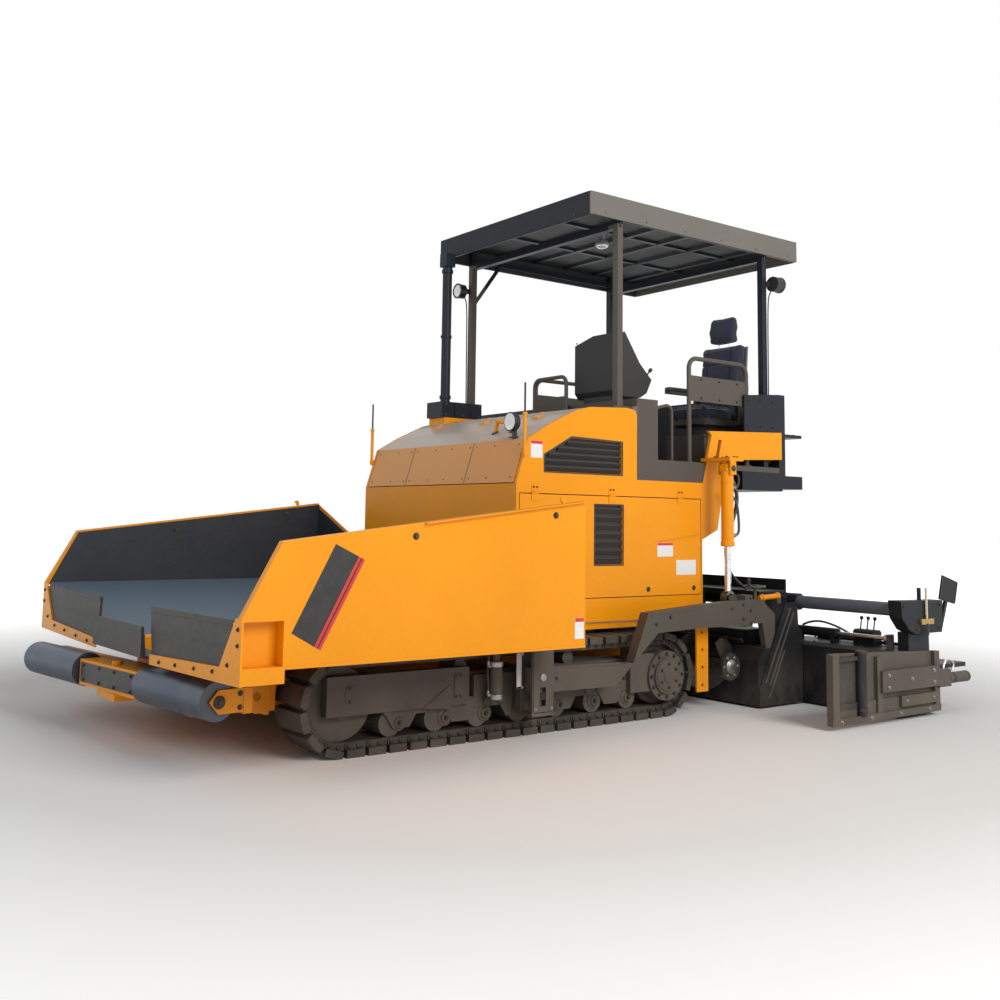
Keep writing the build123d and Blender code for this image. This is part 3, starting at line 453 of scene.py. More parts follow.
# ---------------------------------------------------------------- looks
YELLOW = (0.86, 0.31, 0.003)
GREY = (0.088, 0.076, 0.062)
FASCIA = (0.15, 0.14, 0.12)
CONSOLE = (0.035, 0.034, 0.034)
DARK = (0.011, 0.014, 0.02)
BLACK = (0.012, 0.013, 0.016)
# pale grey-beige, a painted sky reflection for the hood's upward faces and the platform deck
SHEEN_FROM_SKY = (0.42, 0.36, 0.30)
WORN_PALE = (0.3, 0.28, 0.26)
GREY_FINISH = {"rough": 0.5, "bare": WORN_PALE, "wear": 0.3, "dust_top": 0.6, "dust_most": 0.3}
BLACK_FINISH = {"rough": 0.45, "bare": WORN_PALE, "wear": 0.35, "dust_top": 0.5, "dust_most": 0.3}
looks = {made.name.removesuffix("_look"): made for made in (
    paint("yellow_paint", YELLOW, coat=0.06, dust_most=0.22, dust_top=0.6),
    paint("grey_paint", GREY, **GREY_FINISH),
    paint("dark_paint", DARK, rough=0.42, bare=(0.2, 0.2, 0.2), dust_most=0.15, wear=0.3, dust_top=0.5),
    paint("screed_black", BLACK, **BLACK_FINISH),
    # yellow hood paint with a painted sky reflection on the faces that look up
    paint("hood_with_sky_sheen", YELLOW, coat=0.1, dust_most=0.1, painted_top_sheen=SHEEN_FROM_SKY),
    # hopper liner: dark walls, and on faces that look up a paler, bluer colour that is painted skylight
    steel("hopper_steel", (0.013, 0.017, 0.024), 0.5, 0.3, rust_most=0.05, dust_most=0.03, grain=(0.25, 1, 1),
          floor=(0.10, 0.145, 0.19)),
    paint("marker_paint", YELLOW, coat=0.2, dust_most=0.1),
    # track steel: its own dark colour, darkened further as painted shade for the tracks under the hopper
    steel("track_steel", (0.05, 0.043, 0.036), 0.6, 0.4, rust_most=0.3, dust_most=0.3),
    steel("auger_iron", (0.028, 0.027, 0.027), 0.55, 0.5, rust_most=0.2),
    steel("roller_steel", (0.07, 0.09, 0.13), 0.4, 0.6, grain=(0.2, 1, 1), rust_most=0.1),
    steel("rod_chrome", (0.72, 0.72, 0.73), 0.2, 1.0, rust_most=0.0, dust_most=0.05),
    soft("apron_rubber", (0.03, 0.029, 0.027), 0.6, 160.0, 0.3, dust_most=0.12),
    woven("seat_fabric", (0.012, 0.018, 0.04), (0.02, 0.024, 0.035)),
    soft("lamp_plastic", (0.012, 0.012, 0.013), 0.45, 300.0, 0.15, dust_most=0.1),
    steel("bolt_zinc", (0.36, 0.35, 0.33), 0.35, 0.9, rust_most=0.15, dust_most=0.2),
    steel("bolt_dark", (0.05, 0.045, 0.04), 0.45, 0.7, rust_most=0.25, dust_most=0.2),
    soft("plate_white", (0.72, 0.72, 0.72), 0.35, 500.0, 0.05, dust_most=0.1, bright=1.05),
    soft("stripe_red", (0.6, 0.02, 0.015), 0.35, 500.0, 0.05, dust_most=0.08, bright=1.05),
    soft("decal_black", (0.012, 0.011, 0.012), 0.35, 500.0, 0.05, dust_most=0.08),
    soft("hose_rubber", (0.018, 0.018, 0.02), 0.5, 260.0, 0.3, dust_most=0.15),
    tread("foot_tread", (0.035, 0.035, 0.037), 0.25),
    tread("floor_tread", GREY, 0.3),
    lens("lamp_lens", (0.8, 0.8, 0.78)),
    soft("trim_grey", (0.22, 0.22, 0.225), 0.5, 400.0, 0.15, dust_most=0.15, bright=1.1),
    lens("screen_glass", (0.03, 0.035, 0.04)),
    # the patch on the platform deck's top is the pale painted sky reflection
    paint("platform", GREY, rough=0.5, bare=WORN_PALE, dust_most=0.1,
          patches=[((-0.59, -1.0, 1.95), (0.1, 1.0, 2.12), SHEEN_FROM_SKY)]),
    # canopy roof: the front fascia's dark band is a darker paint darkened further with painted shade, and the
    # inside and underside of the roof are near black as painted shade
    paint("canopy_roof", FASCIA, rough=0.55, dust_most=0.1, patches=[((-0.157, -1.5, 3.3), (0.5, 1.5, 3.65),
                                                                      DARK),
                                                                     ((-2.386, -1.0, 3.0),
                                                                      (-0.179, 0.902, 3.57),
                                                                      (0.03, 0.032, 0.034))]),
    # canopy frame: dark, with both front posts grey; the dark on the other posts and beams is painted shade,
    # the grey the same paint as lit
    paint("canopy_frame", DARK, rough=0.42, dust_most=0.1, patches=[((-0.6, 0.8, 2.0), (-0.3, 0.95, 3.42),
                                                                     GREY)]),
    paint("console", CONSOLE, rough=0.5, dust_most=0.1),
    # the paler, bluish band on the guide tube is the bare steel's own colour with a painted sky reflection in
    # it
    paint("extension", BLACK, **BLACK_FINISH, patches=[((-2.11, 1.0, 0.67), (-1.98, 1.98, 0.8),
                                                        (0.10, 0.11, 0.13))]),
    # end gate: the second, near-black box, just ahead of the post, is painted shade in the gate's recess
    paint("end_gate", GREY, **GREY_FINISH, patches=[((-1.575, 2.02, 0.074), (-1.485, 2.11, 0.50), DARK),
                                                    ((-1.485, 1.9, 0.115), (-1.24, 2.0761, 0.46),
                                                     (0.035, 0.034, 0.031))]),
    paint("grille_slat", (0.045, 0.04, 0.036), rough=0.42, bare=WORN_PALE, wear=0.25, dust_most=0.1),
    soft("knob_red", (0.5, 0.02, 0.015), 0.3, 300.0, 0.1, dust_most=0.05, bright=1.1),
    soft("plate_ivory", (0.55, 0.47, 0.33), 0.4, 400.0, 0.1, dust_most=0.15, bright=1.1),
    steel("brass_fitting", (0.45, 0.3, 0.1), 0.35, 0.9, rust_most=0.15, dust_most=0.2),
)}
OTHER_LOOK = {"screed_main": "screed_black", "extension_left": "extension", "extension_right": "extension",
              "platform": "platform", "canopy_roof": "canopy_roof", "canopy_frame": "canopy_frame",
              "console": "console", "end_gate_left": "end_gate", "end_gate_right": "end_gate",
              "hood_lid": "hood_with_sky_sheen", "side_grille_left": "grille_slat", "side_grille_right": "grille_slat",
              "door_grille_left": "grille_slat", "door_grille_right": "grille_slat"}
for entry in frame["record"]["subparts"]:
    node = entry["node"]
    cad_mesh = frame["nodes"][node].data
    cad_mesh.materials.clear()
    cad_mesh.materials.append(looks[OTHER_LOOK.get(node, entry["material_slot"])])


# ---------------------------------------------------------------- faces that details sit on
PANEL_Y = 0.94                     # the outer face of the side panels and doors
LIFT_X, LIFT_Y = -1.31, 1.13       # the upper pin of the lift cylinder


# ---------------------------------------------------------------- tracks
track_lo, track_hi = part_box("track_left")
SHOE_R = 0.28
AXLE_Z = (track_lo.z + track_hi.z) / 2
SPROCKET_X = track_lo.x + SHOE_R
IDLER_X = track_hi.x - SHOE_R
TRACK_IN = track_lo.y
TRACK_OUT = track_hi.y
SHOES = 48


def along_track(count, radius):
    """Places spread evenly along a track's loop, each with its outward direction in X and Z."""
    straight = IDLER_X - SPROCKET_X
    bend = math.pi * radius
    for index in range(count):
        along = (index + 0.5) * 2 * (straight + bend) / count
        if along < straight:
            turn, x = 0.0, SPROCKET_X + along
        elif along < straight + bend:
            turn, x = (along - straight) / radius, IDLER_X
        elif along < 2 * straight + bend:
            turn, x = math.pi, IDLER_X - (along - straight - bend)
        else:
            turn, x = math.pi + (along - 2 * straight - bend) / radius, SPROCKET_X
        out_x, out_z = math.sin(turn), -math.cos(turn)
        yield x + radius * out_x, AXLE_Z + radius * out_z, out_x, out_z


def strip(x, z, ahead, half_long, half_wide, corner):
    """An elongated eight-sided outline in X and Z, laid along a direction."""
    ax, az = ahead
    points = []
    for a, b in ((-1, -corner), (-corner, -1), (corner, -1), (1, -corner), (1, corner), (corner, 1),
                 (-corner, 1), (-1, corner)):
        points.append((x + ax * a * half_long - az * b * half_wide,
                       z + az * a * half_long + ax * b * half_wide))
    return points


for side, s in SIDES:
    links, pins, shoe_bolts = shapes(3)
    for x, z, out_x, out_z in along_track(SHOES, SHOE_R - 0.0195):
        chain_x, chain_z = x - 0.038 * out_x, z - 0.038 * out_z
        ahead = (-out_z, out_x)
        for y, out in ((TRACK_OUT - 0.04, 1), (TRACK_IN + 0.04, -1)):
            links.prism(strip(chain_x, chain_z, ahead, 0.052, 0.019, 0.62), "Y", s * y, s * (y + out * 0.007))
            for end in (-0.03, 0.03):
                place = (chain_x + ahead[0] * end, s * y, chain_z + ahead[1] * end)
                pins.turned(place, (0, s * out, 0), [(0.006, 0.012), (0.013, 0.012), (0.015, 0.009)], 10)
        if z > AXLE_Z:
            for y in (TRACK_IN + 0.1, TRACK_IN + 0.13, TRACK_OUT - 0.13, TRACK_OUT - 0.1):
                for end in (-0.022, 0.022):
                    place = (x + 0.0155 * out_x + ahead[0] * end, s * y, z + 0.0155 * out_z + ahead[1] * end)
                    shoe_bolts.turned(place, (out_x, 0, out_z), [(-0.002, 0.009), (0.003, 0.009),
                                                                 (0.0035, 0.007)], 6)
    piece("track_links_" + side, links, "chassis", "track_steel", 0.001)
    piece("track_pins_" + side, pins, "chassis", "track_steel", look="bolt_dark")
    piece("track_shoe_bolts_" + side, shoe_bolts, "chassis", "track_steel", look="bolt_dark")

    # covers and bolts on the track frame
    frame_lo, frame_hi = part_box("track_frame_" + side)
    cover_y = max(abs(frame_lo.y), abs(frame_hi.y))
    covers, bolts = shapes(2)
    covers.turned((SPROCKET_X, s * cover_y, AXLE_Z), (0, s, 0), [(-0.004, 0.105), (0.004, 0.105),
                                                                 (0.007, 0.1), (0.008, 0.05), (0.014, 0.047),
                                                                 (0.016, 0.03)], 40)
    for x, z in around(SPROCKET_X, AXLE_Z, 0.143, 12):
        bolts.bolt((x, s * (cover_y - 0.015), z), (0, s, 0), 0.009)
    for x, z in around(SPROCKET_X, AXLE_Z, 0.078, 6, 0.5):
        bolts.bolt((x, s * (cover_y + 0.008), z), (0, s, 0), 0.007)
    skirt_y = TRACK_OUT - 0.033
    for arch in range(5):
        arch_x = 1.406 - 0.405 * arch
        for roller_x in (arch_x - 0.2, arch_x + 0.1):
            covers.turned((roller_x, s * skirt_y, 0.228), (0, s, 0),
                          [(-0.002, 0.028), (0.01, 0.028), (0.014, 0.022), (0.015, 0.01)], 20)
    for roller_x in (-0.368, -0.07, 0.22, 0.51, 0.81, 1.1, 1.42):
        covers.turned((roller_x, s * (TRACK_OUT - 0.046), 0.155), (0, s, 0),
                      [(-0.002, 0.05), (0.006, 0.05), (0.01, 0.035), (0.02, 0.03)])
        bolts.bolt((roller_x, s * (TRACK_OUT - 0.026), 0.155), (0, s, 0), 0.012)
    covers.turned((IDLER_X, s * (TRACK_OUT - 0.046), AXLE_Z), (0, s, 0),
                  [(-0.002, 0.075), (0.012, 0.075), (0.018, 0.06), (0.03, 0.055)], 32)
    for x, z in around(IDLER_X, AXLE_Z, 0.06, 6):
        bolts.bolt((x, s * (TRACK_OUT - 0.034), z), (0, s, 0), 0.006)
    beam_y = TRACK_OUT - 0.008
    covers.prism(strip(1.76, 0.335, (0, 1), 0.05, 0.028, 0.55), "Y", s * beam_y, s * (beam_y + 0.004))
    covers.prism([(1.0, 0.26), (1.0, 0.405), (1.06, 0.405), (1.06, 0.26)],
                 "Y", s * beam_y, s * (beam_y + 0.005))
    bolts.bolts(grid((1.015, 1.045), s * (beam_y + 0.005), (0.275, 0.39)), (0, s, 0), 0.007)
    bolts.bolts(grid(1.76, s * (beam_y + 0.005), (0.3, 0.37)), (0, s, 0), 0.007)
    bolts.bolts(grid((-0.33, -0.2, 0.1, 0.4, 0.7), s * (TRACK_OUT - 0.03), (0.28, 0.36)), (0, s, 0), 0.009)
    piece("track_covers_" + side, covers, "chassis", "grey_paint", 0.0015)
    piece("track_frame_bolts_" + side, bolts, "chassis", "grey_paint", look="bolt_dark")

# ---------------------------------------------------------------- hopper
WING_Y = 1.643    # the wing's outer face
for side, s in SIDES:
    wing = "wing_" + side
    lip_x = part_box("hopper_wing_" + side)[1].x
    bolts, trim, hem = shapes(3)
    for x, z in ((1.704, 1.215), (0.749, 1.338)):
        bolts.bolt((x, s * WING_Y, z), (0, s, 0), 0.013)
    for x, z in ((1.744, 1.202), (0.826, 1.331)):
        bolts.bolt((x, s * (WING_Y - 0.048), z), (0, -s, 0), 0.012)
    for y, z in ((0.62, 0.518), (0.85, 0.528), (1.1, 0.54), (1.33, 0.552), (1.5, 0.6), (1.607, 0.7),
                 (1.607, 0.775)):
        bolts.bolt((lip_x, s * y, z), (1, 0, 0), 0.008)
    piece("wing_bolts_" + side, bolts, wing, "yellow_paint", look="bolt_dark")
    # a hook on the top edge and a stiffening strip low on the wing
    trim.prism([(0.69, 1.395), (0.69, 1.43), (0.7, 1.443), (0.722, 1.44), (0.728, 1.425), (0.714, 1.42),
                (0.706, 1.393)], "Y", s * (WING_Y + 0.002), s * (WING_Y + 0.016))
    trim.prism([(0.52, 0.58), (0.52, 0.596), (2.43, 0.596), (2.43, 0.58)],
               "Y", s * (WING_Y - 0.001), s * (WING_Y + 0.004))
    piece("wing_trim_" + side, trim, wing, "yellow_paint", 0.0015)
    # hem and lower strip of the front flap
    flap_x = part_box("apron_" + side)[1].x
    hem.prism([(s * 0.44, 0.772), (s * 0.44, 0.797), (s * 1.535, 0.809), (s * 1.52, 0.784)],
              "X", flap_x - 0.001, flap_x + 0.003)
    hem.prism([(s * 0.45, 0.66), (s * 0.45, 0.672), (s * 1.47, 0.684), (s * 1.464, 0.672)],
              "X", flap_x - 0.001, flap_x + 0.002)
    piece("flap_hem_" + side, hem, wing, "apron_rubber", 0.001)

# blank panel and stripes on the side that shows
panel = [(2.177, 1.175), (2.008, 1.095), (2.247, 0.660), (2.406, 0.749)]
decal = Shape()
decal.prism(panel, "Y", WING_Y, WING_Y + 0.0011)
piece("wing_panel_left", decal, "wing_left", "yellow_paint", look="decal_black")
stripes = Shape()
for low, high in ((0.0, 0.085), (0.135, 0.215)):
    stripes.prism([lean(panel[1], panel[0], low), lean(panel[2], panel[3], low),
                   lean(panel[2], panel[3], high), lean(panel[1], panel[0], high)],
                  "Y", WING_Y + 0.0006, WING_Y + 0.0016)
piece("wing_stripes_left", stripes, "wing_left", "yellow_paint", look="stripe_red")


def blank_plate(name, body, x0, x1, z0, z1, y, band, band_low):
    """A white plate with nothing on it but a plain coloured band."""
    plate, edge = shapes(2)
    plate.box(x0, x1, y - 0.0005, y + 0.0012, z0, z1)
    piece(name, plate, body, "yellow_paint", 0.0004, "plate_white")
    low, high = (z0, z0 + 0.3 * (z1 - z0)) if band_low else (z1 - 0.2 * (z1 - z0), z1)
    edge.box(x0 + 0.001, x1 - 0.001, y + 0.0008, y + 0.0018, low + 0.001, high - 0.001)
    piece(name + "_band", edge, body, "yellow_paint", look=band)


blank_plate("plate_wing", "wing_left", 0.532, 0.600, 0.632, 0.752, WING_Y, "stripe_red", False)
blank_plate("plate_hood", "chassis", 0.271, 0.369, 1.715, 1.827, PANEL_Y, "stripe_red", False)
blank_plate("plate_door_high", "door_left", -0.947, -0.79, 1.069, 1.166, PANEL_Y, "stripe_red", False)
blank_plate("plate_door_low", "door_left", -1.183, -0.98, 0.895, 1.044, PANEL_Y, "yellow_paint", True)

# centre flap and conveyor chains
hem = Shape()
hem.prism([(2.681, 0.66), (2.681, 0.688), (2.694, 0.689), (2.6955, 0.689), (2.6955, 0.66)], "Y", -0.41, 0.41)
piece("centre_flap_hem", hem, "chassis", "apron_rubber", 0.001)
conveyor_lo, conveyor_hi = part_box("slat_conveyor")
chains = Shape()
for s in (-1, 1):
    for y in (0.03, 0.36):
        for step in range(39):
            x = conveyor_lo.x + 0.06 + 0.08 * step
            chains.prism(strip(x, conveyor_hi.z - 0.012, (1, 0), 0.034, 0.012, 0.6),
                         "Y", s * y - 0.009, s * y + 0.009)
piece("conveyor_chains", chains, "chassis", "track_steel", 0.001)

# ---------------------------------------------------------------- push beam
BEAM_X, BEAM_Z = 2.6766, 0.37                      # the pivot of the beam
yaw = Matrix.Rotation(math.radians(6.5), 3, "Z")   # the beam rests turned by this much
caps, bolts, cover = shapes(3)
for s in (-1, 1):
    caps.turned((BEAM_X, s * 1.159, BEAM_Z), (0, s, 0), [(-0.002, 0.034), (0.006, 0.034), (0.009, 0.03)], 28)
    bolts.bolt((BEAM_X, s * 1.168, BEAM_Z), (0, s, 0), 0.017)
    for x, z in ((BEAM_X - 0.12, BEAM_Z + 0.035), (BEAM_X - 0.12, BEAM_Z - 0.035)):
        bolts.bolt((x, s * 1.161, z), (0, s, 0), 0.01)
cover.box(BEAM_X + 0.059, BEAM_X + 0.065, -0.35, 0.35, BEAM_Z - 0.06, BEAM_Z + 0.055)
bolts.bolts(grid(BEAM_X + 0.065, (-0.31, -0.1, 0.1, 0.31), (BEAM_Z - 0.045, BEAM_Z + 0.04)), (1, 0, 0), 0.008)
for shape in (caps, bolts, cover):
    bmesh.ops.rotate(shape.mesh, cent=(BEAM_X, 0, 0), matrix=yaw, verts=shape.mesh.verts)
piece("beam_caps", caps, "push_beam", "yellow_paint", 0.001, "decal_black")
piece("beam_cover", cover, "push_beam", "yellow_paint", 0.002, "decal_black")
piece("beam_bolts", bolts, "push_beam", "yellow_paint", look="bolt_dark")

# ---------------------------------------------------------------- body sides
louver = [(0.015, 1.861), (-0.444, 1.853), (-0.445, 1.632), (0.248, 1.632), (0.248, 1.736)]


def grown(points, by):
    """An outline pushed outwards by a little, corner by corner."""
    middle_x = sum(p[0] for p in points) / len(points)
    middle_z = sum(p[1] for p in points) / len(points)
    out = []
    for index, (x, z) in enumerate(points):
        before, after = points[index - 1], points[(index + 1) % len(points)]
        a = Vector((x - before[0], z - before[1])).normalized()
        b = Vector((after[0] - x, after[1] - z)).normalized()
        normal = Vector((a.y, -a.x)) + Vector((b.y, -b.x))
        normal.normalize()
        if normal.x * (x - middle_x) + normal.y * (z - middle_z) < 0:
            normal = -normal
        out.append((x + normal.x * by, z + normal.y * by))
    return out


def frame_strips(shape, points, inner, outer, low, high):
    """A flat frame along an outline, between two distances from it, as one closed piece."""
    shape.loop([[shape.mesh.verts.new((x, along, z)) for x, z in grown(points, by)]
                for by, along in ((inner, low), (outer, low), (outer, high), (inner, high))])


for side, s in SIDES:
    bezel, door_bezel = shapes(2)
    frame_strips(bezel, louver, 0.001, 0.013, s * (PANEL_Y - 0.001), s * (PANEL_Y + 0.003))
    piece("louver_bezel_" + side, bezel, "chassis", "dark_paint", 0.001, "hose_rubber")
    vent = [(-0.455, 1.018), (-0.195, 1.018), (-0.195, 1.42), (-0.455, 1.42)]
    frame_strips(door_bezel, vent, 0.001, 0.011, s * (PANEL_Y - 0.001), s * (PANEL_Y + 0.003))
    piece("vent_bezel_" + side, door_bezel, "door_" + side, "dark_paint", 0.001, "hose_rubber")

    # a dark seal behind each door, so that nothing shows through its gaps
    door_lo, door_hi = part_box("side_door_" + side)
    door_back = min(abs(door_lo.y), abs(door_hi.y))
    opening = [(door_lo.x, door_lo.z), (door_lo.x, door_hi.z), (door_hi.x, door_hi.z), (door_hi.x, door_lo.z)]
    seal = Shape()
    frame_strips(seal, opening, -0.02, 0.03, s * (door_back - 0.012), s * (door_back - 0.006))
    piece("door_seal_" + side, seal, "chassis", "apron_rubber", 0, "hose_rubber")

    # hinge leaves over the door, with their bolts
    leaves, bolts = shapes(2)
    for x in (0.3, -0.38, -1.05):
        leaves.prism([(x, 1.497), (x, 1.535), (x + 0.008, 1.543), (x + 0.052, 1.543), (x + 0.06, 1.535),
                      (x + 0.06, 1.497)], "Y", s * (PANEL_Y - 0.001), s * (PANEL_Y + 0.004))
        for end in (0.016, 0.044):
            bolts.bolt((x + end, s * (PANEL_Y + 0.004), 1.525), (0, s, 0), 0.005)
    piece("hinge_leaves_" + side, leaves, "chassis", "yellow_paint", 0.0008)
    piece("hinge_leaf_bolts_" + side, bolts, "chassis", "yellow_paint", look="bolt_dark")

    # locks on the door, and its pressed crease
    locks, crease = shapes(2)
    for x in (0.38, -0.70, -1.16):
        locks.turned((x, s * PANEL_Y, 0.845), (0, s, 0), [(-0.001, 0.018), (0.003, 0.018), (0.005, 0.015),
                                                          (0.005, 0.008), (0.0035, 0.006)])
        locks.prism(strip(x, 0.845, (0.2, 0.98), 0.011, 0.003, 0.7),
                    "Y", s * (PANEL_Y + 0.003), s * (PANEL_Y + 0.009))
    piece("door_locks_" + side, locks, "door_" + side, "yellow_paint", 0.0005, "bolt_dark")
    crease.prism([(-0.775, 1.174), (-1.225, 1.245), (-1.225, 1.228), (-0.86, 1.178)],
                 "Y", s * (PANEL_Y - 0.001), s * (PANEL_Y + 0.007))
    piece("door_crease_" + side, crease, "door_" + side, "yellow_paint", 0.002)
    # rivets along the panel's rear edge and the arm behind it
    rivets = Shape()
    for z in (1.66, 1.74, 1.82):
        rivets.turned((-0.55, s * PANEL_Y, z), (0, s, 0), RIVET, 12)
    for place in grid((-1.6, -1.8, -2.0, -2.13), s * PANEL_Y, (1.845, 1.985)):
        rivets.turned(place, (0, s, 0), RIVET, 12)
    piece("panel_rivets_" + side, rivets, "chassis", "yellow_paint")
    # pin cap and bolts of the lift cylinder's bracket
    cap, bolts = shapes(2)
    cap.turned((LIFT_X, s * 1.19, 1.705), (0, s, 0), [(-0.002, 0.022), (0.005, 0.022), (0.008, 0.017)])
    bolts.bolts(grid((-1.395, -1.365, -1.285), (s * 1.04, s * 1.15), 1.785), (0, 0, 1), 0.01)
    piece("lift_pin_cap_" + side, cap, "chassis", "yellow_paint", 0.0008, "bolt_dark")
    piece("lift_bracket_bolts_" + side, bolts, "chassis", "yellow_paint", look="bolt_dark")

# ---------------------------------------------------------------- hood
slope_low, slope_high = (0.485, 1.551), (0.393, 1.836)
slope_out = (0.9516, 0.3072)


def on_slope(share, off):
    """A point on the hood's front slope, in X and Z."""
    x, z = lean(slope_low, slope_high, share)
    return x + slope_out[0] * off, z + slope_out[1] * off


seams, screws = shapes(2)
for y in (-0.38, 0.357):
    seams.prism([on_slope(0.02, -0.0005), on_slope(0.98, -0.0005), on_slope(0.98, 0.0012),
                 on_slope(0.02, 0.0012)], "Y", y - 0.0025, y + 0.0025)
for y in (-0.86, -0.6, -0.42, -0.34, -0.1, 0.1, 0.32, 0.4, 0.6, 0.86):
    for share in (0.12, 0.88):
        x, z = on_slope(share, 0)
        screws.turned((x, y, z), (slope_out[0], 0, slope_out[1]),
                      [(-0.001, 0.006), (0.0015, 0.006), (0.003, 0.003)], 12)
piece("hood_seams", seams, "hood_lid", "yellow_paint", look="decal_black")
piece("hood_screws", screws, "hood_lid", "yellow_paint", look="bolt_dark")

lamp, glass = shapes(2)
lamp.turned((0.355, 0.775, 1.955), (1, 0, 0), [(0, 0.03), (0.012, 0.055), (0.045, 0.064), (0.06, 0.065),
                                               (0.062, 0.06)], 36)
lamp.box(0.365, 0.385, 0.76, 0.79, 1.84, 1.92)
lamp.box(0.35, 0.40, 0.745, 0.805, 1.85, 1.858)
glass.turned((0.355, 0.775, 1.955), (1, 0, 0), [(0.058, 0.058), (0.063, 0.055), (0.067, 0.035),
                                                (0.068, 0.01)], 36)
piece("hood_lamp", lamp, "hood_lid", "lamp_plastic", 0.001)
piece("hood_lamp_glass", glass, "hood_lid", "lamp_plastic", look="lamp_lens")
grab, feet = shapes(2)
for a, b in (((0.27, 0.63, 1.905), (0.27, 0.61, 1.955)), ((0.27, 0.612, 1.955), (0.27, 0.45, 1.99)),
             ((0.27, 0.45, 1.99), (0.27, 0.43, 1.91))):
    grab.rod(a, b, 0.014, 16)
for y in (0.63, 0.43):
    feet.turned((0.27, y, 1.9), (0.5, 0, 0.866), [(-0.002, 0.026), (0.012, 0.026), (0.016, 0.02)], 20)
piece("hood_grab", grab, "hood_lid", "yellow_paint", 0.001)
piece("hood_grab_feet", feet, "hood_lid", "yellow_paint", 0.001, "decal_black")

# exhaust: yellow pedestal and clamps
PIPE_X, PIPE_Y = -0.085, -0.705
base, clamps = shapes(2)
base.prism([(-0.394, 2.094), (-0.145, 2.081), (-0.036, 2.047), (-0.036, 2.109), (-0.394, 2.109)],
           "Y", -0.854, -0.636)
piece("exhaust_pedestal", base, "chassis", "yellow_paint", 0.002)
for z, outer, depth in ((2.26, 0.045, 0.03), (2.75, 0.044, 0.025), (3.28, 0.046, 0.03)):
    clamps.ring((PIPE_X, PIPE_Y, z), (0, 0, 1), 0.0375, outer, depth)
clamps.box(-0.405, -0.395, -0.82, -0.67, 2.13, 2.215)
clamps.box(-0.15, -0.135, -0.636, -0.63, 2.12, 2.225)
clamps.box(-0.30, -0.285, -0.64, -0.632, 2.12, 2.225)
piece("exhaust_clamps", clamps, "chassis", "dark_paint", 0.0015)
bolts = Shape()
bolts.bolts(grid((-0.37, -0.21, -0.05), -0.64, (2.13, 2.215)), (0, 1, 0), 0.008)
bolts.bolts(grid(-0.04, PIPE_Y, (2.275, 2.7625)), (1, 0, 0), 0.007)
piece("exhaust_bolts", bolts, "chassis", "dark_paint", look="bolt_dark")

# marker rods: black tips and collars
ROD_X, ROD_Y = 0.43, 0.952
for side, s in SIDES:
    tips, collars = shapes(2)
    tips.turned((ROD_X, s * ROD_Y, 2.0), (0, 0, 1), [(0, 0.0068), (0.198, 0.0066), (0.2, 0.003)], 12)
    for z, outer, depth in ((1.985, 0.0155, 0.02), (1.73, 0.016, 0.03)):
        collars.ring((ROD_X, s * ROD_Y, z), (0, 0, 1), 0.0115, outer, depth, 20)
    piece("marker_tip_" + side, tips, "chassis", "marker_paint", look="decal_black")
    piece("marker_collars_" + side, collars, "chassis", "marker_paint", 0.0005)

# ---------------------------------------------------------------- canopy
roof_lo, roof_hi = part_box("canopy_roof")
PANEL_Z = roof_hi.z - 0.04
ribs, bolts = shapes(2)
for x in (-0.75, -1.1, -1.45, -1.8, -2.2):
    ribs.prism([(x - 0.03, PANEL_Z + 0.002), (x - 0.02, PANEL_Z - 0.022), (x + 0.02, PANEL_Z - 0.022),
                (x + 0.03, PANEL_Z + 0.002)], "Y", -0.845, 0.845)
for s in (-1, 1):
    ribs.box(-2.37, -0.19, s * 0.30 - 0.02, s * 0.30 + 0.02, PANEL_Z - 0.018, PANEL_Z + 0.002)
piece("roof_ribs", ribs, "chassis", "dark_paint", 0.002)
for s in (-1, 1):
    for x in (-0.3, -0.7, -1.1, -1.5, -1.9, -2.3):
        bolts.turned((x, s * roof_hi.y, roof_lo.z + 0.03), (0, s, 0), ROOF_RIVET, 12)
for y in (-0.75, -0.25, 0.25, 0.75):
    for x, out in ((roof_hi.x, 1), (roof_lo.x, -1)):
        bolts.turned((x, y, roof_lo.z + 0.03), (out, 0, 0), ROOF_RIVET, 12)
for s in (-1, 1):
    bolts.bolts(grid((-0.56, -0.425), (s * 0.815, s * 0.885), 2.117), (0, 0, 1), 0.009)
    bolts.bolts(grid((-0.463, -2.033), s * 0.9, (3.405, 3.425)), (0, s, 0), 0.007)
piece("canopy_bolts", bolts, "chassis", "dark_paint", look="bolt_dark")
drip = Shape()
for s in (-1, 1):
    drip.box(roof_lo.x + 0.01, roof_hi.x - 0.01, s * (roof_hi.y - 0.012) - 0.010,
             s * (roof_hi.y - 0.012) + 0.010, roof_lo.z - 0.004, roof_lo.z + 0.004)
for x in (roof_hi.x - 0.013, roof_lo.x + 0.013):
    drip.box(x - 0.009, x + 0.009, -0.9, 0.9, roof_lo.z - 0.004, roof_lo.z + 0.004)
piece("roof_drip_edge", drip, "chassis", "dark_paint", 0.0015)

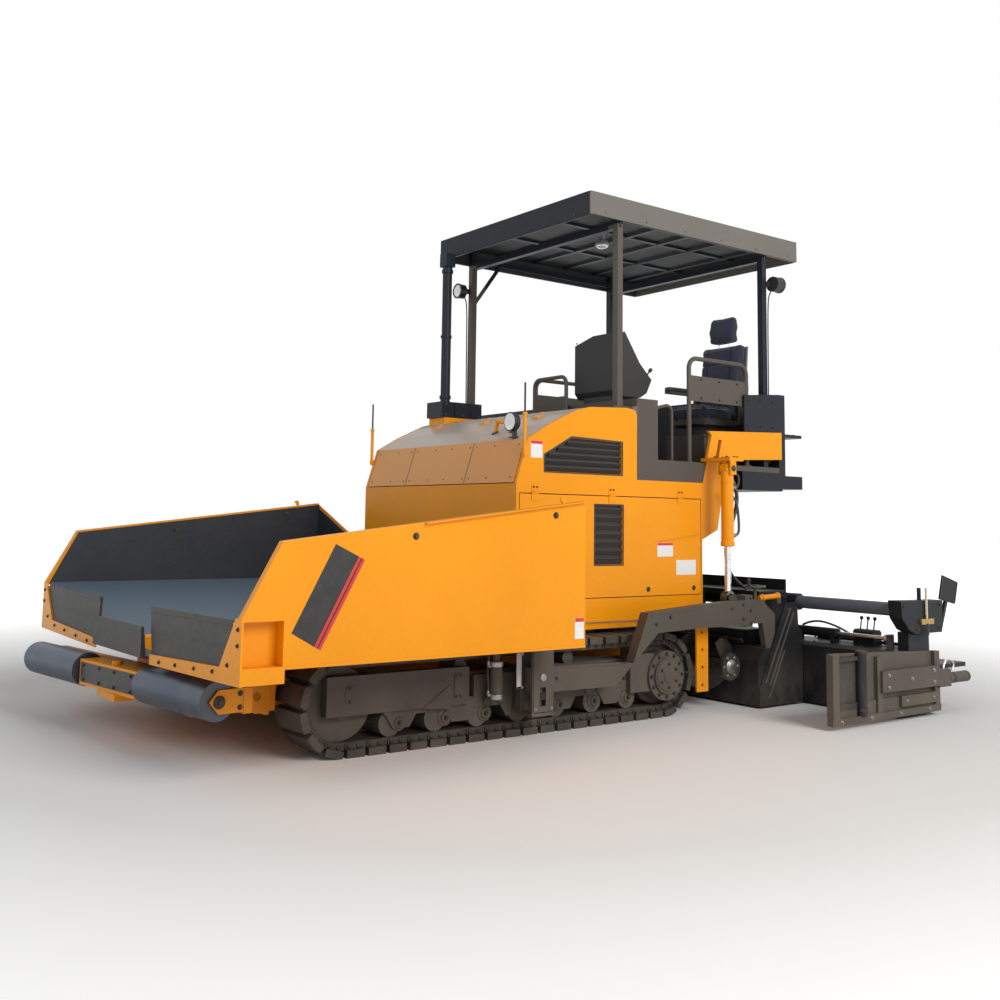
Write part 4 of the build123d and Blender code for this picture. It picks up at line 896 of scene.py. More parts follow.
# a small lamp under the roof, the two work lamps' glasses and rims
lamp, glass, rims = shapes(3)
lamp.box(-0.76, -0.74, 0.38, 0.42, 3.44, 3.545)
lamp.turned((-0.75, 0.40, 3.43), (0, 0, -1), [(-0.02, 0.03), (0.0, 0.05), (0.02, 0.055), (0.028, 0.05)], 30)
glass.turned((-0.75, 0.40, 3.43), (0, 0, -1), [(0.024, 0.048), (0.036, 0.044), (0.046, 0.03), (0.05, 0.01)],
             30)
piece("roof_lamp", lamp, "chassis", "lamp_plastic", 0.001, "trim_grey")
for x, y, out in ((-2.183, 0.93, -1), (-0.343, -0.93, 1)):
    rims.ring((x - 0.012 * out, y, 3.21), (out, 0, 0), 0.052, 0.064, 0.016, 36)
    rims.turned((x - 0.085 * out, y, 3.21), (out, 0, 0), [(0, 0.02), (0.006, 0.035), (0.03, 0.05)])
    glass.turned((x - 0.004 * out, y, 3.21), (out, 0, 0), [(0, 0.052), (0.004, 0.05), (0.01, 0.035),
                                                           (0.012, 0.01)], 36)
piece("lamp_rims", rims, "chassis", "lamp_plastic", 0.0008)
piece("lamp_glasses", glass, "chassis", "lamp_plastic", look="lamp_lens")
hose("lamp_wire_front", [(-0.435, -0.905, 2.13), (-0.432, -0.907, 2.7), (-0.43, -0.908, 3.1),
                         (-0.41, -0.915, 3.16), (-0.405, -0.922, 3.18)], 0.005, "chassis")
hose("lamp_wire_rear", [(-2.06, 0.905, 1.79), (-2.062, 0.907, 2.5), (-2.064, 0.908, 3.08),
                        (-2.085, 0.915, 3.14), (-2.1, 0.922, 3.17)], 0.005, "chassis")

# ---------------------------------------------------------------- operator's place
FLOOR_Z = 1.75
floor_plate, step_plate, flanges, bolts = shapes(4)
floor_plate.box(-2.165, -1.26, -0.845, 0.845, FLOOR_Z - 0.001, FLOOR_Z + 0.003)
floor_plate.box(-1.255, -0.805, -0.67, 0.67, FLOOR_Z - 0.001, FLOOR_Z + 0.003)
piece("floor_plate", floor_plate, "chassis", "grey_paint", 0.001, "floor_tread")
for s in (-1, 1):
    step_plate.box(-1.245, -0.815, s * 0.68, s * 0.93, FLOOR_Z - 0.001, FLOOR_Z + 0.003)
    for x in (-1.173, -1.815):
        flanges.turned((x, s * 0.89, FLOOR_Z), (0, 0, 1), [(-0.001, 0.033), (0.006, 0.033), (0.009, 0.024)])
    for x in (-0.84, -1.01):
        flanges.turned((x, s * 0.87, FLOOR_Z), (0, 0, 1), [(-0.001, 0.026), (0.006, 0.026), (0.009, 0.018)])
    bolts.bolts(grid((-1.3, -1.5, -1.7), s * 0.896, (2.235, 2.375)), (0, s, 0), 0.006)
piece("step_plates", step_plate, "chassis", "grey_paint", 0.001, "foot_tread")
piece("rail_flanges", flanges, "chassis", "grey_paint", 0.001)
piece("rail_panel_bolts", bolts, "chassis", "grey_paint", look="bolt_dark")

# console: screen, gauges, switches, a steering knob and a stop button on its two slopes,
# each given by its two ends and its outward direction
UPPER = ((-0.727, 2.701), (-0.88, 2.481), (-0.821, 0.571))
LOWER = ((-0.88, 2.481), (-1.002, 2.367), (-0.683, 0.731))
KNOB_SHARE, KNOB_Y = 0.5, 0.45    # the steering knob's place on the lower slope


def on_console(share, y, off, slope=UPPER):
    """A point on a slope, at a share of its length and a distance off it."""
    start, end, out = slope
    x, z = lean(start, end, share)
    return x + out[0] * off, y, z + out[1] * off


def console_slab(shape, a, b, low, high, y0, y1, slope=UPPER):
    """A flat slab between two shares of a slope."""
    corners = [on_console(share, 0, off, slope) for share, off in ((a, low), (b, low), (b, high), (a, high))]
    shape.prism([(x, z) for x, _, z in corners], "Y", y0, y1)


upper_out, lower_out = ((out_x, 0, out_z) for _, _, (out_x, out_z) in (UPPER, LOWER))
face, screen, knobs, gauges, stop = shapes(5)
console_slab(face, 0.08, 0.95, -0.002, 0.004, 0.23, 0.655)
console_slab(face, 0.05, 0.95, -0.002, 0.004, 0.23, 0.655, LOWER)
piece("console_faces", face, "chassis", "dark_paint", 0.0015, "trim_grey")
console_slab(screen, 0.2, 0.8, 0.003, 0.007, 0.34, 0.54)
piece("console_screen", screen, "chassis", "dark_paint", 0.001, "screen_glass")
for y in (0.265, 0.305, 0.575, 0.615):
    for share in (0.3, 0.7):
        gauges.turned(on_console(share, y, 0.003), upper_out, [(0, 0.016), (0.005, 0.016), (0.007, 0.013)])
for y in (0.26, 0.30, 0.34, 0.56, 0.6, 0.64):
    for share in (0.25, 0.55):
        knobs.turned(on_console(share, y, 0.003, LOWER), lower_out,
                     [(0, 0.007), (0.006, 0.008), (0.014, 0.006)], 14)
for y in (0.28, 0.62):
    knobs.turned(on_console(0.85, y, 0.003, LOWER), lower_out, [(0, 0.014), (0.01, 0.012), (0.035, 0.006),
                                                                (0.07, 0.006), (0.075, 0.013), (0.095, 0.014),
                                                                (0.104, 0.008)], 16)
knobs.turned(on_console(KNOB_SHARE, KNOB_Y, 0.003, LOWER), lower_out,
             [(0, 0.03), (0.02, 0.024), (0.04, 0.012), (0.06, 0.012)])
for inner, outer, depth, sides in ((0.078, 0.094, 0.016, 36), (0.004, 0.02, 0.012, 20)):
    knobs.ring(on_console(KNOB_SHARE, KNOB_Y, 0.055, LOWER), lower_out, inner, outer, depth, sides)
across = Vector((0, 1, 0))
down_slope = Vector(lower_out).normalized().cross(across).normalized()
centre = Vector(on_console(KNOB_SHARE, KNOB_Y, 0.062, LOWER))
for turn in (0, 120, 240):
    ray = down_slope * math.cos(math.radians(turn)) + across * math.sin(math.radians(turn))
    knobs.rod(centre + ray * 0.012, centre + ray * 0.082, 0.006, 10)
stop.turned(on_console(0.5, 0.58, 0.003, LOWER), lower_out, [(0, 0.012), (0.01, 0.012), (0.011, 0.02),
                                                             (0.018, 0.02), (0.023, 0.013)])
piece("console_gauges", gauges, "chassis", "dark_paint", look="decal_black")
piece("console_controls", knobs, "chassis", "lamp_plastic", 0.0005)
piece("console_stop", stop, "chassis", "lamp_plastic", look="knob_red")
console_bolts = Shape()
for s_y, out in ((0.675, 1), (0.21, -1)):
    for x, z in ((-0.67, 2.30), (-0.67, 2.66), (-0.86, 2.26), (-0.93, 2.36)):
        console_bolts.turned((x, s_y, z), (0, out, 0), [(-0.001, 0.007), (0.0015, 0.007), (0.003, 0.004)], 12)
piece("console_bolts", console_bolts, "chassis", "dark_paint", look="bolt_dark")

# seat: arm pads, bellows and slide rails; pedestal: bolts and a small door
SEAT_Y = 0.45
pads, bellows, rails = shapes(3)
for s in (-1, 1):
    pads.box(-2.035, -1.666, SEAT_Y + s * 0.221, SEAT_Y + s * 0.289, 2.372, 2.414)
piece("seat_arm_pads", pads, "seat", "seat_fabric", 0.014, "hose_rubber")
steps = []
for fold in range(6):
    steps += [(0.001 + 0.0125 * fold, 0.113), (0.007 + 0.0125 * fold, 0.138)]
bellows.turned((-1.82, SEAT_Y, 2.001), (0, 0, 1), steps + [(0.0765, 0.113)], 40)
piece("seat_bellows", bellows, "seat", "seat_fabric", look="trim_grey")
for y in (SEAT_Y - 0.15, SEAT_Y + 0.15):
    rails.box(-2.0, -1.64, y - 0.012, y + 0.012, 2.072, 2.081)
rails.box(-1.66, -1.60, 0.30, 0.60, 2.082, 2.09)
piece("seat_rails", rails, "seat", "grey_paint", 0.0015, "bolt_dark")
pedestal_trim = Shape()
for x, out in ((-1.6, 1), (-2.01, -1)):
    pedestal_trim.bolts(grid(x, (0.27, 0.63), (1.77, 1.98)), (out, 0, 0), 0.006)
pedestal_trim.bolts(grid((-1.62, -1.99), 0.65, (1.77, 1.98)), (0, 1, 0), 0.006)
piece("pedestal_bolts", pedestal_trim, "chassis", "grey_paint", look="bolt_dark")
pedestal_door = Shape()
pedestal_door.box(-1.96, -1.65, 0.6495, 0.654, 1.79, 1.96)
pedestal_door.box(-1.67, -1.66, 0.653, 0.664, 1.86, 1.9)
piece("pedestal_door", pedestal_door, "chassis", "grey_paint", 0.002)


# ---------------------------------------------------------------- cushions
SEAM_HALF = 0.006    # how far a seam's dent spreads
SEAM_DEEP = 0.007    # how deep it goes


def stuffed(name, outline, y0, y1, cap, floor, seams_y=(), seams_z=()):
    """A stuffed pad from an outline in X and Z: swollen by a cloth run, then sewn down along its seams.

    cap is how far the cloth may swell, floor the height that nothing sinks below.
    """
    shape = Shape()
    shape.prism(outline, "Y", y0, y1)
    bmesh.ops.bevel(shape.mesh, geom=list(shape.mesh.edges), offset=0.022, segments=4, profile=0.5,
                    affect="EDGES", clamp_overlap=True)
    obj = piece(name, shape, "seat", "seat_fabric")
    remesh = obj.modifiers.new("remesh", "REMESH")
    remesh.mode = "VOXEL"
    remesh.voxel_size = 0.006
    remesh.use_smooth_shade = True
    graph = bpy.context.evaluated_depsgraph_get()
    dense = bpy.data.meshes.new_from_object(obj.evaluated_get(graph))
    obj.modifiers.clear()
    obj.data = dense
    start = [v.co.copy() for v in dense.vertices]
    cloth = obj.modifiers.new("cloth", "CLOTH")
    cloth.settings.quality = 4
    cloth.settings.use_pressure = True
    cloth.settings.uniform_pressure_force = 4.0
    cloth.settings.tension_stiffness = 12.0
    cloth.settings.effector_weights.gravity = 0.0
    cloth.collision_settings.use_collision = False
    for step in range(1, 21):
        scene.frame_set(step)
    graph = bpy.context.evaluated_depsgraph_get()
    swollen = [v.co.copy() for v in obj.evaluated_get(graph).data.vertices]
    obj.modifiers.remove(cloth)
    scene.frame_set(1)
    for vertex, old, new in zip(dense.vertices, start, swollen):
        move = new - old
        if move.length > cap:
            move *= cap / move.length
        vertex.co = old + move
    finer = obj.modifiers.new("finer", "SUBSURF")
    finer.levels = finer.render_levels = 1
    graph = bpy.context.evaluated_depsgraph_get()
    smooth = bpy.data.meshes.new_from_object(obj.evaluated_get(graph))
    obj.modifiers.clear()
    obj.data = smooth
    normals = [v.normal.copy() for v in smooth.vertices]
    for vertex, normal in zip(smooth.vertices, normals):
        depth = 0.0
        for seam in seams_y:
            depth = max(depth, math.exp(-((vertex.co.y - seam) / SEAM_HALF) ** 2))
        for seam in seams_z:
            depth = max(depth, math.exp(-((vertex.co.z - seam) / SEAM_HALF) ** 2))
        vertex.co -= normal * (SEAM_DEEP * depth)
        vertex.co.z = max(vertex.co.z, floor)
    smooth.materials.clear()
    smooth.materials.append(looks["seat_fabric"])
    smooth.shade_smooth()
    return obj


cushion_lo, cushion_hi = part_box("seat_cushion")
seat_mid = (cushion_lo.y + cushion_hi.y) / 2
sides_y = (cushion_lo.y + 0.014, cushion_hi.y - 0.014)
channels_y = (seat_mid - 0.12, seat_mid + 0.12)
outline = [(cushion_lo.x + 0.014, cushion_lo.z + 0.001), (cushion_lo.x + 0.014, cushion_hi.z - 0.018),
           (-1.72, cushion_hi.z - 0.02), (cushion_hi.x - 0.014, cushion_hi.z - 0.010),
           (cushion_hi.x - 0.012, cushion_hi.z - 0.05), (cushion_hi.x - 0.03, cushion_lo.z + 0.001)]
cushion = stuffed("seat_pad", outline, *sides_y, 0.014, cushion_lo.z, channels_y)
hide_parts("seat_cushion")
outline = [(-1.968, 2.142), (-1.978, 2.30), (-1.998, 2.5), (-2.022, 2.735), (-2.05, 2.765), (-2.112, 2.755),
           (-2.09, 2.45), (-2.056, 2.142)]
backrest = stuffed("seat_backrest", outline, *sides_y, 0.012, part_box("seat_back")[0].z, channels_y,
                   (2.42, 2.60))
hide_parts("seat_back")
outline = [(-2.02, 2.785), (-2.016, 2.88), (-2.026, 2.96), (-2.055, 3.0), (-2.10, 2.993), (-2.122, 2.92),
           (-2.114, 2.785)]
stuffed("seat_headrest", outline, seat_mid - 0.118, seat_mid + 0.118, 0.012, 2.765)
stems = Shape()
for s in (-1, 1):
    stems.rod((-2.072, seat_mid + s * 0.055, 2.72), (-2.072, seat_mid + s * 0.055, 2.8), 0.007, 14)
piece("headrest_stems", stems, "seat", "seat_fabric", look="rod_chrome")
shell = Shape()
shell.prism([(-2.060, 2.15), (-2.094, 2.45), (-2.118, 2.745), (-2.132, 2.745), (-2.108, 2.45),
             (-2.074, 2.15)], "Y", seat_mid - 0.205, seat_mid + 0.205)
piece("seat_shell", shell, "seat", "seat_fabric", 0.005, "trim_grey")


def welt(name, points, body):
    """Piping sewn round a pad."""
    obj = hose(name, points, 0.0035, body, "trim_grey")
    obj.data.splines[0].use_endpoint_u = False
    obj.data.splines[0].use_cyclic_u = True
    ring = as_mesh(obj)
    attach(ring, body)


y0, y1 = cushion_lo.y + 0.018, cushion_hi.y - 0.018
x0, x1 = cushion_lo.x + 0.02, cushion_hi.x - 0.012
z_mid = cushion_hi.z - 0.035
welt("cushion_welt", [(x0, y0, z_mid), ((x0 + x1) / 2, y0 - 0.004, z_mid), (x1, y0, z_mid),
                      (x1 + 0.004, seat_mid, z_mid), (x1, y1, z_mid), ((x0 + x1) / 2, y1 + 0.004, z_mid),
                      (x0, y1, z_mid), (x0, seat_mid, z_mid)], "seat")

# ---------------------------------------------------------------- tow slides and arms
SLIDE_Y = 1.286                    # the outer face of the tow slide's cover
ARM_Y = 1.255                      # the outer face of the tow arm
JACK_X, JACK_Y = 0.79, 1.15        # the axis of the levelling cylinder
HAND_X, HAND_Y = -1.5, 1.217       # the axis of the hand wheel
for side, s in SIDES:
    cover, bolts, bracket = shapes(3)
    for x0, x1, z0, z1 in ((0.455, 0.512, 0.165, 0.57), (0.56, 0.608, 0.165, 0.57), (0.512, 0.56, 0.31, 0.57),
                           (0.512, 0.56, 0.165, 0.20)):
        cover.box(x0, x1, s * 1.2795, s * SLIDE_Y, z0, z1)
    piece("slide_cover_" + side, cover, "chassis", "grey_paint", 0.001)
    bolts.turned((0.536, s * SLIDE_Y, 0.368), (0, s, 0), [(-0.001, 0.024), (0.006, 0.024), (0.01, 0.019)])
    bolts.bolts(grid((0.47, 0.594), s * SLIDE_Y, (0.185, 0.55)), (0, s, 0), 0.007)
    piece("slide_bolts_" + side, bolts, "chassis", "grey_paint", look="bolt_zinc")
    for x0, x1, z0, z1 in ((0.6145, 0.662, 0.30, 0.312), (0.628, 0.662, 0.30, 0.51),
                           (0.6145, 0.64, 0.495, 0.51)):
        bracket.box(x0, x1, s * 1.186, s * 1.194, z0, z1)
    piece("level_scale_" + side, bracket, "chassis", "grey_paint", 0.001, "plate_white")
    jack = Shape()
    for z in (0.245, 0.435):
        jack.ring((JACK_X, s * JACK_Y, z), (0, 0, 1), 0.0395, 0.046, 0.03)
    for z in (0.27, 0.44):
        jack.rod((JACK_X + 0.035, s * JACK_Y, z), (JACK_X + 0.062, s * JACK_Y, z), 0.011, 12)
        jack.rod((JACK_X + 0.055, s * JACK_Y, z), (JACK_X + 0.055, s * JACK_Y, z + 0.03), 0.01, 6)
    piece("level_jack_fittings_" + side, jack, "chassis", "grey_paint", 0.0008, "bolt_zinc")
    hose("level_hose_low_" + side, sided(s, [(0.845, 1.15, 0.295), (0.85, 1.15, 0.36), (0.84, 1.13, 0.46),
                                             (0.80, 1.08, 0.56), (0.72, 0.98, 0.6)]), 0.008, "chassis")
    hose("level_hose_high_" + side, sided(s, [(0.845, 1.15, 0.465), (0.85, 1.15, 0.52), (0.81, 1.11, 0.575),
                                              (0.74, 1.02, 0.605), (0.69, 0.95, 0.61)]), 0.008, "chassis")

    arm_bolts, arm_trim = shapes(2)
    for x, z in ((-0.592, 0.681), (-1.207, 0.714), (-0.46, 0.64), (-1.33, 0.64), (-1.33, 0.74), (0.40, 0.35)):
        arm_bolts.bolt((x, s * ARM_Y, z), (0, s, 0), 0.009)
    arm_bolts.bolts(grid(-1.405, s * ARM_Y, (0.605, 0.695, 0.785)), (0, s, 0), 0.008)
    piece("arm_bolts_" + side, arm_bolts, "screed", "grey_paint", look="bolt_dark")
    for outline in ([(-0.13, 0.415), (-0.13, 0.3975), (0.52, 0.4165), (0.52, 0.425)],
                    [(-0.41, 0.705), (-0.41, 0.693), (-0.90, 0.73), (-0.90, 0.744)]):
        arm_trim.prism(outline, "Y", s * (ARM_Y - 0.001), s * (ARM_Y + 0.004))
    piece("arm_seams_" + side, arm_trim, "screed", "grey_paint", 0.001)
    hand = Shape()
    hand.ring((HAND_X, s * HAND_Y, 0.845), (0, 0, 1), 0.011, 0.02, 0.03, 20)
    hand.turned((HAND_X + 0.068, s * HAND_Y, 0.868), (0, 0, 1), [(0, 0.008), (0.01, 0.011), (0.045, 0.013),
                                                                 (0.052, 0.008)], 16)
    piece("hand_wheel_grip_" + side, hand, "screed", "lamp_plastic", 0.0005)

# ---------------------------------------------------------------- lift cylinders and their hoses
SCREED_HOSE = [(-1.50, 0.90, 1.775), (-1.56, 0.93, 1.70), (-1.61, 0.97, 1.56), (-1.58, 0.99, 1.42),
               (-1.48, 1.0, 1.25), (-1.43, 1.0, 1.10), (-1.48, 1.0, 0.95), (-1.58, 1.0, 0.87),
               (-1.66, 1.0, 0.83)]
for side, s in SIDES:
    glands, ports, eye = shapes(3)
    glands.ring((LIFT_X, s * LIFT_Y, 1.146), (0, 0, 1), 0.0265, 0.051, 0.035, 32)
    for z in (1.20, 1.60):
        glands.ring((LIFT_X, s * LIFT_Y, z), (0, 0, 1), 0.0448, 0.0485, 0.012, 32)
    piece("lift_glands_" + side, glands, "lift_barrel_" + side, "yellow_paint", 0.0008)
    for z in (1.225, 1.57):
        ports.rod((LIFT_X - 0.04, s * LIFT_Y, z), (LIFT_X - 0.075, s * LIFT_Y, z), 0.012, 14)
        ports.turned((LIFT_X - 0.07, s * LIFT_Y, z), (-1, 0, 0), [(0, 0.015), (0.014, 0.015), (0.016, 0.012)],
                     6)
    piece("lift_ports_" + side, ports, "lift_barrel_" + side, "rod_chrome", look="bolt_zinc")
    for z, reach in ((1.225, 1.50), (1.57, 1.69)):
        bends = ((0.083, 0, z), (0.12, 0, z + 0.005), (0.15, 0.02, z + 0.08), (0.14, 0.03, reach - 0.02),
                 (0.13, 0.1, reach + 0.03), (0.10, 0.14, reach + 0.05))
        points = [(LIFT_X - back, s * (LIFT_Y - inward), height) for back, inward, height in bends]
        hose("lift_hose_%s_%d" % (side, int(z * 100)), points, 0.009, "lift_barrel_" + side)
    eye.ring((LIFT_X, s * (LIFT_Y - 0.028), 0.777), (0, s, 0), 0.051, 0.0545, 0.056, 32)
    piece("lift_eye_ring_" + side, eye, "lift_rod_" + side, "rod_chrome", 0.0008, "bolt_dark")

    # hoses from the platform down to the screed
    for index, shift in enumerate((0.0, 0.03, 0.06)):
        points = [(x - shift, s * (y - shift), z) for x, y, z in SCREED_HOSE]
        tube = as_mesh(hose("screed_hose_%s_%d" % (side, index), points, 0.011, "chassis"))
        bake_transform(tube)

# ---------------------------------------------------------------- screed
EDGE_Y = 1.25      # the outer face of the side plate
CROWN_Y = 1.19     # the crown spindle, to the side of the middle
for side, s in SIDES:
    ribs, bolts, spindle = shapes(3)
    for ends in (((-1.565, 0.18), (-1.85, 0.70)), ((-1.61, 0.16), (-1.885, 0.665)),
                 ((-1.60, 0.07), (-1.78, 0.40))):
        a, b = Vector(ends[0]), Vector(ends[1])
        half = (b - a).orthogonal().normalized() * 0.006
        ribs.prism([a - half, b - half, b + half, a + half], "Y", s * (EDGE_Y - 0.001), s * (EDGE_Y + 0.006))
    piece("side_plate_ribs_" + side, ribs, "screed", "grey_paint", 0.001)
    for x, z in ((-1.54, 0.05), (-1.7, 0.05), (-1.86, 0.05), (-1.96, 0.05), (-1.96, 0.25), (-1.96, 0.45),
                 (-1.82, 0.69), (-1.92, 0.69)):
        bolts.bolt((x, s * EDGE_Y, z), (0, s, 0), 0.008)
    bolts.bolts(grid((-1.75, -1.85, -1.95), s * 1.12, (0.47, 0.77)), (0, s, 0), 0.009)
    piece("side_plate_bolts_" + side, bolts, "screed", "grey_paint", look="bolt_dark")
    spindle.rod((-1.575, s * CROWN_Y, 0.775), (-1.80, s * CROWN_Y, 0.785), 0.019)
    for x, z in ((-1.60, 0.776), (-1.77, 0.784)):
        spindle.ring((x, s * CROWN_Y, z), (-1, 0, 0.044), 0.018, 0.026, 0.02, 24)
    piece("crown_spindle_" + side, spindle, "screed", "yellow_paint", 0.0008, "marker_paint")
    feet = Shape()
    for x, z0, z1 in ((-1.60, 0.70, 0.76), (-1.78, 0.73, 0.77)):
        feet.box(x - 0.02, x + 0.02, s * (CROWN_Y - 0.02), s * (CROWN_Y + 0.02), z0, z1)
    piece("crown_spindle_feet_" + side, feet, "screed", "grey_paint", 0.002)

tread_top, walk, covers, bolts, pipes = shapes(5)
tread_top.box(-1.945, -1.655, -1.125, 1.125, 0.814, 0.818)
piece("screed_top_tread", tread_top, "screed", "grey_paint", 0.001, "foot_tread")
walk.box(-2.90, -2.445, -0.975, 0.975, 0.267, 0.271)
piece("screed_walk_tread", walk, "screed", "grey_paint", 0.001, "foot_tread")
for y in (-0.82, -0.28, 0.28, 0.82):
    covers.prism([(-1.60, 0.42), (-1.60, 0.50), (-1.64, 0.53), (-1.88, 0.53), (-1.90, 0.50), (-1.90, 0.42)],
                 "Y", y - 0.19, y + 0.19)
    for x in (-1.66, -1.86):
        for end in (-0.16, 0.16):
            bolts.bolt((x, y + end, 0.53), (0, 0, 1), 0.008)
for y in (-0.55, 0.0, 0.55):
    covers.turned((-1.74, y - 0.05, 0.5), (0, 1, 0), [(0, 0.045), (0.01, 0.055), (0.09, 0.055), (0.1, 0.045)],
                  28)
    bolts.bolt((-1.74, y - 0.05, 0.5), (0, -1, 0), 0.012)
for x in (-1.56, -1.545):
    pipes.rod((x, -1.05, 0.45 + (x + 1.56)), (x, 1.05, 0.45 + (x + 1.56)), 0.009, 12)
for y in (-0.9, -0.3, 0.3, 0.9):
    pipes.box(-1.575, -1.53, y - 0.012, y + 0.012, 0.405, 0.48)
piece("screed_covers", covers, "screed", "grey_paint", 0.003, "screed_black")
piece("screed_cover_bolts", bolts, "screed", "grey_paint", look="bolt_zinc")
piece("screed_pipes", pipes, "screed", "grey_paint", 0.0008, "bolt_dark")
rear = Shape()
for y in (-0.75, -0.25, 0.25, 0.75):
    rear.prism([(-1.991, 0.08), (-1.991, 0.36), (-1.999, 0.35), (-1.999, 0.09)], "Y", y - 0.2, y + 0.2)
piece("screed_rear_plates", rear, "screed", "grey_paint", 0.0015, "screed_black")
bolts = Shape()
for y in (-0.93, -0.57, -0.43, -0.07, 0.07, 0.43, 0.57, 0.93):
    for z in (0.11, 0.33):
        bolts.turned((-1.999, y, z), (-1, 0, 0), [(-0.001, 0.008), (0.001, 0.007), (0.0015, 0.004)], 16)
piece("screed_rear_bolts", bolts, "screed", "grey_paint", look="bolt_dark")

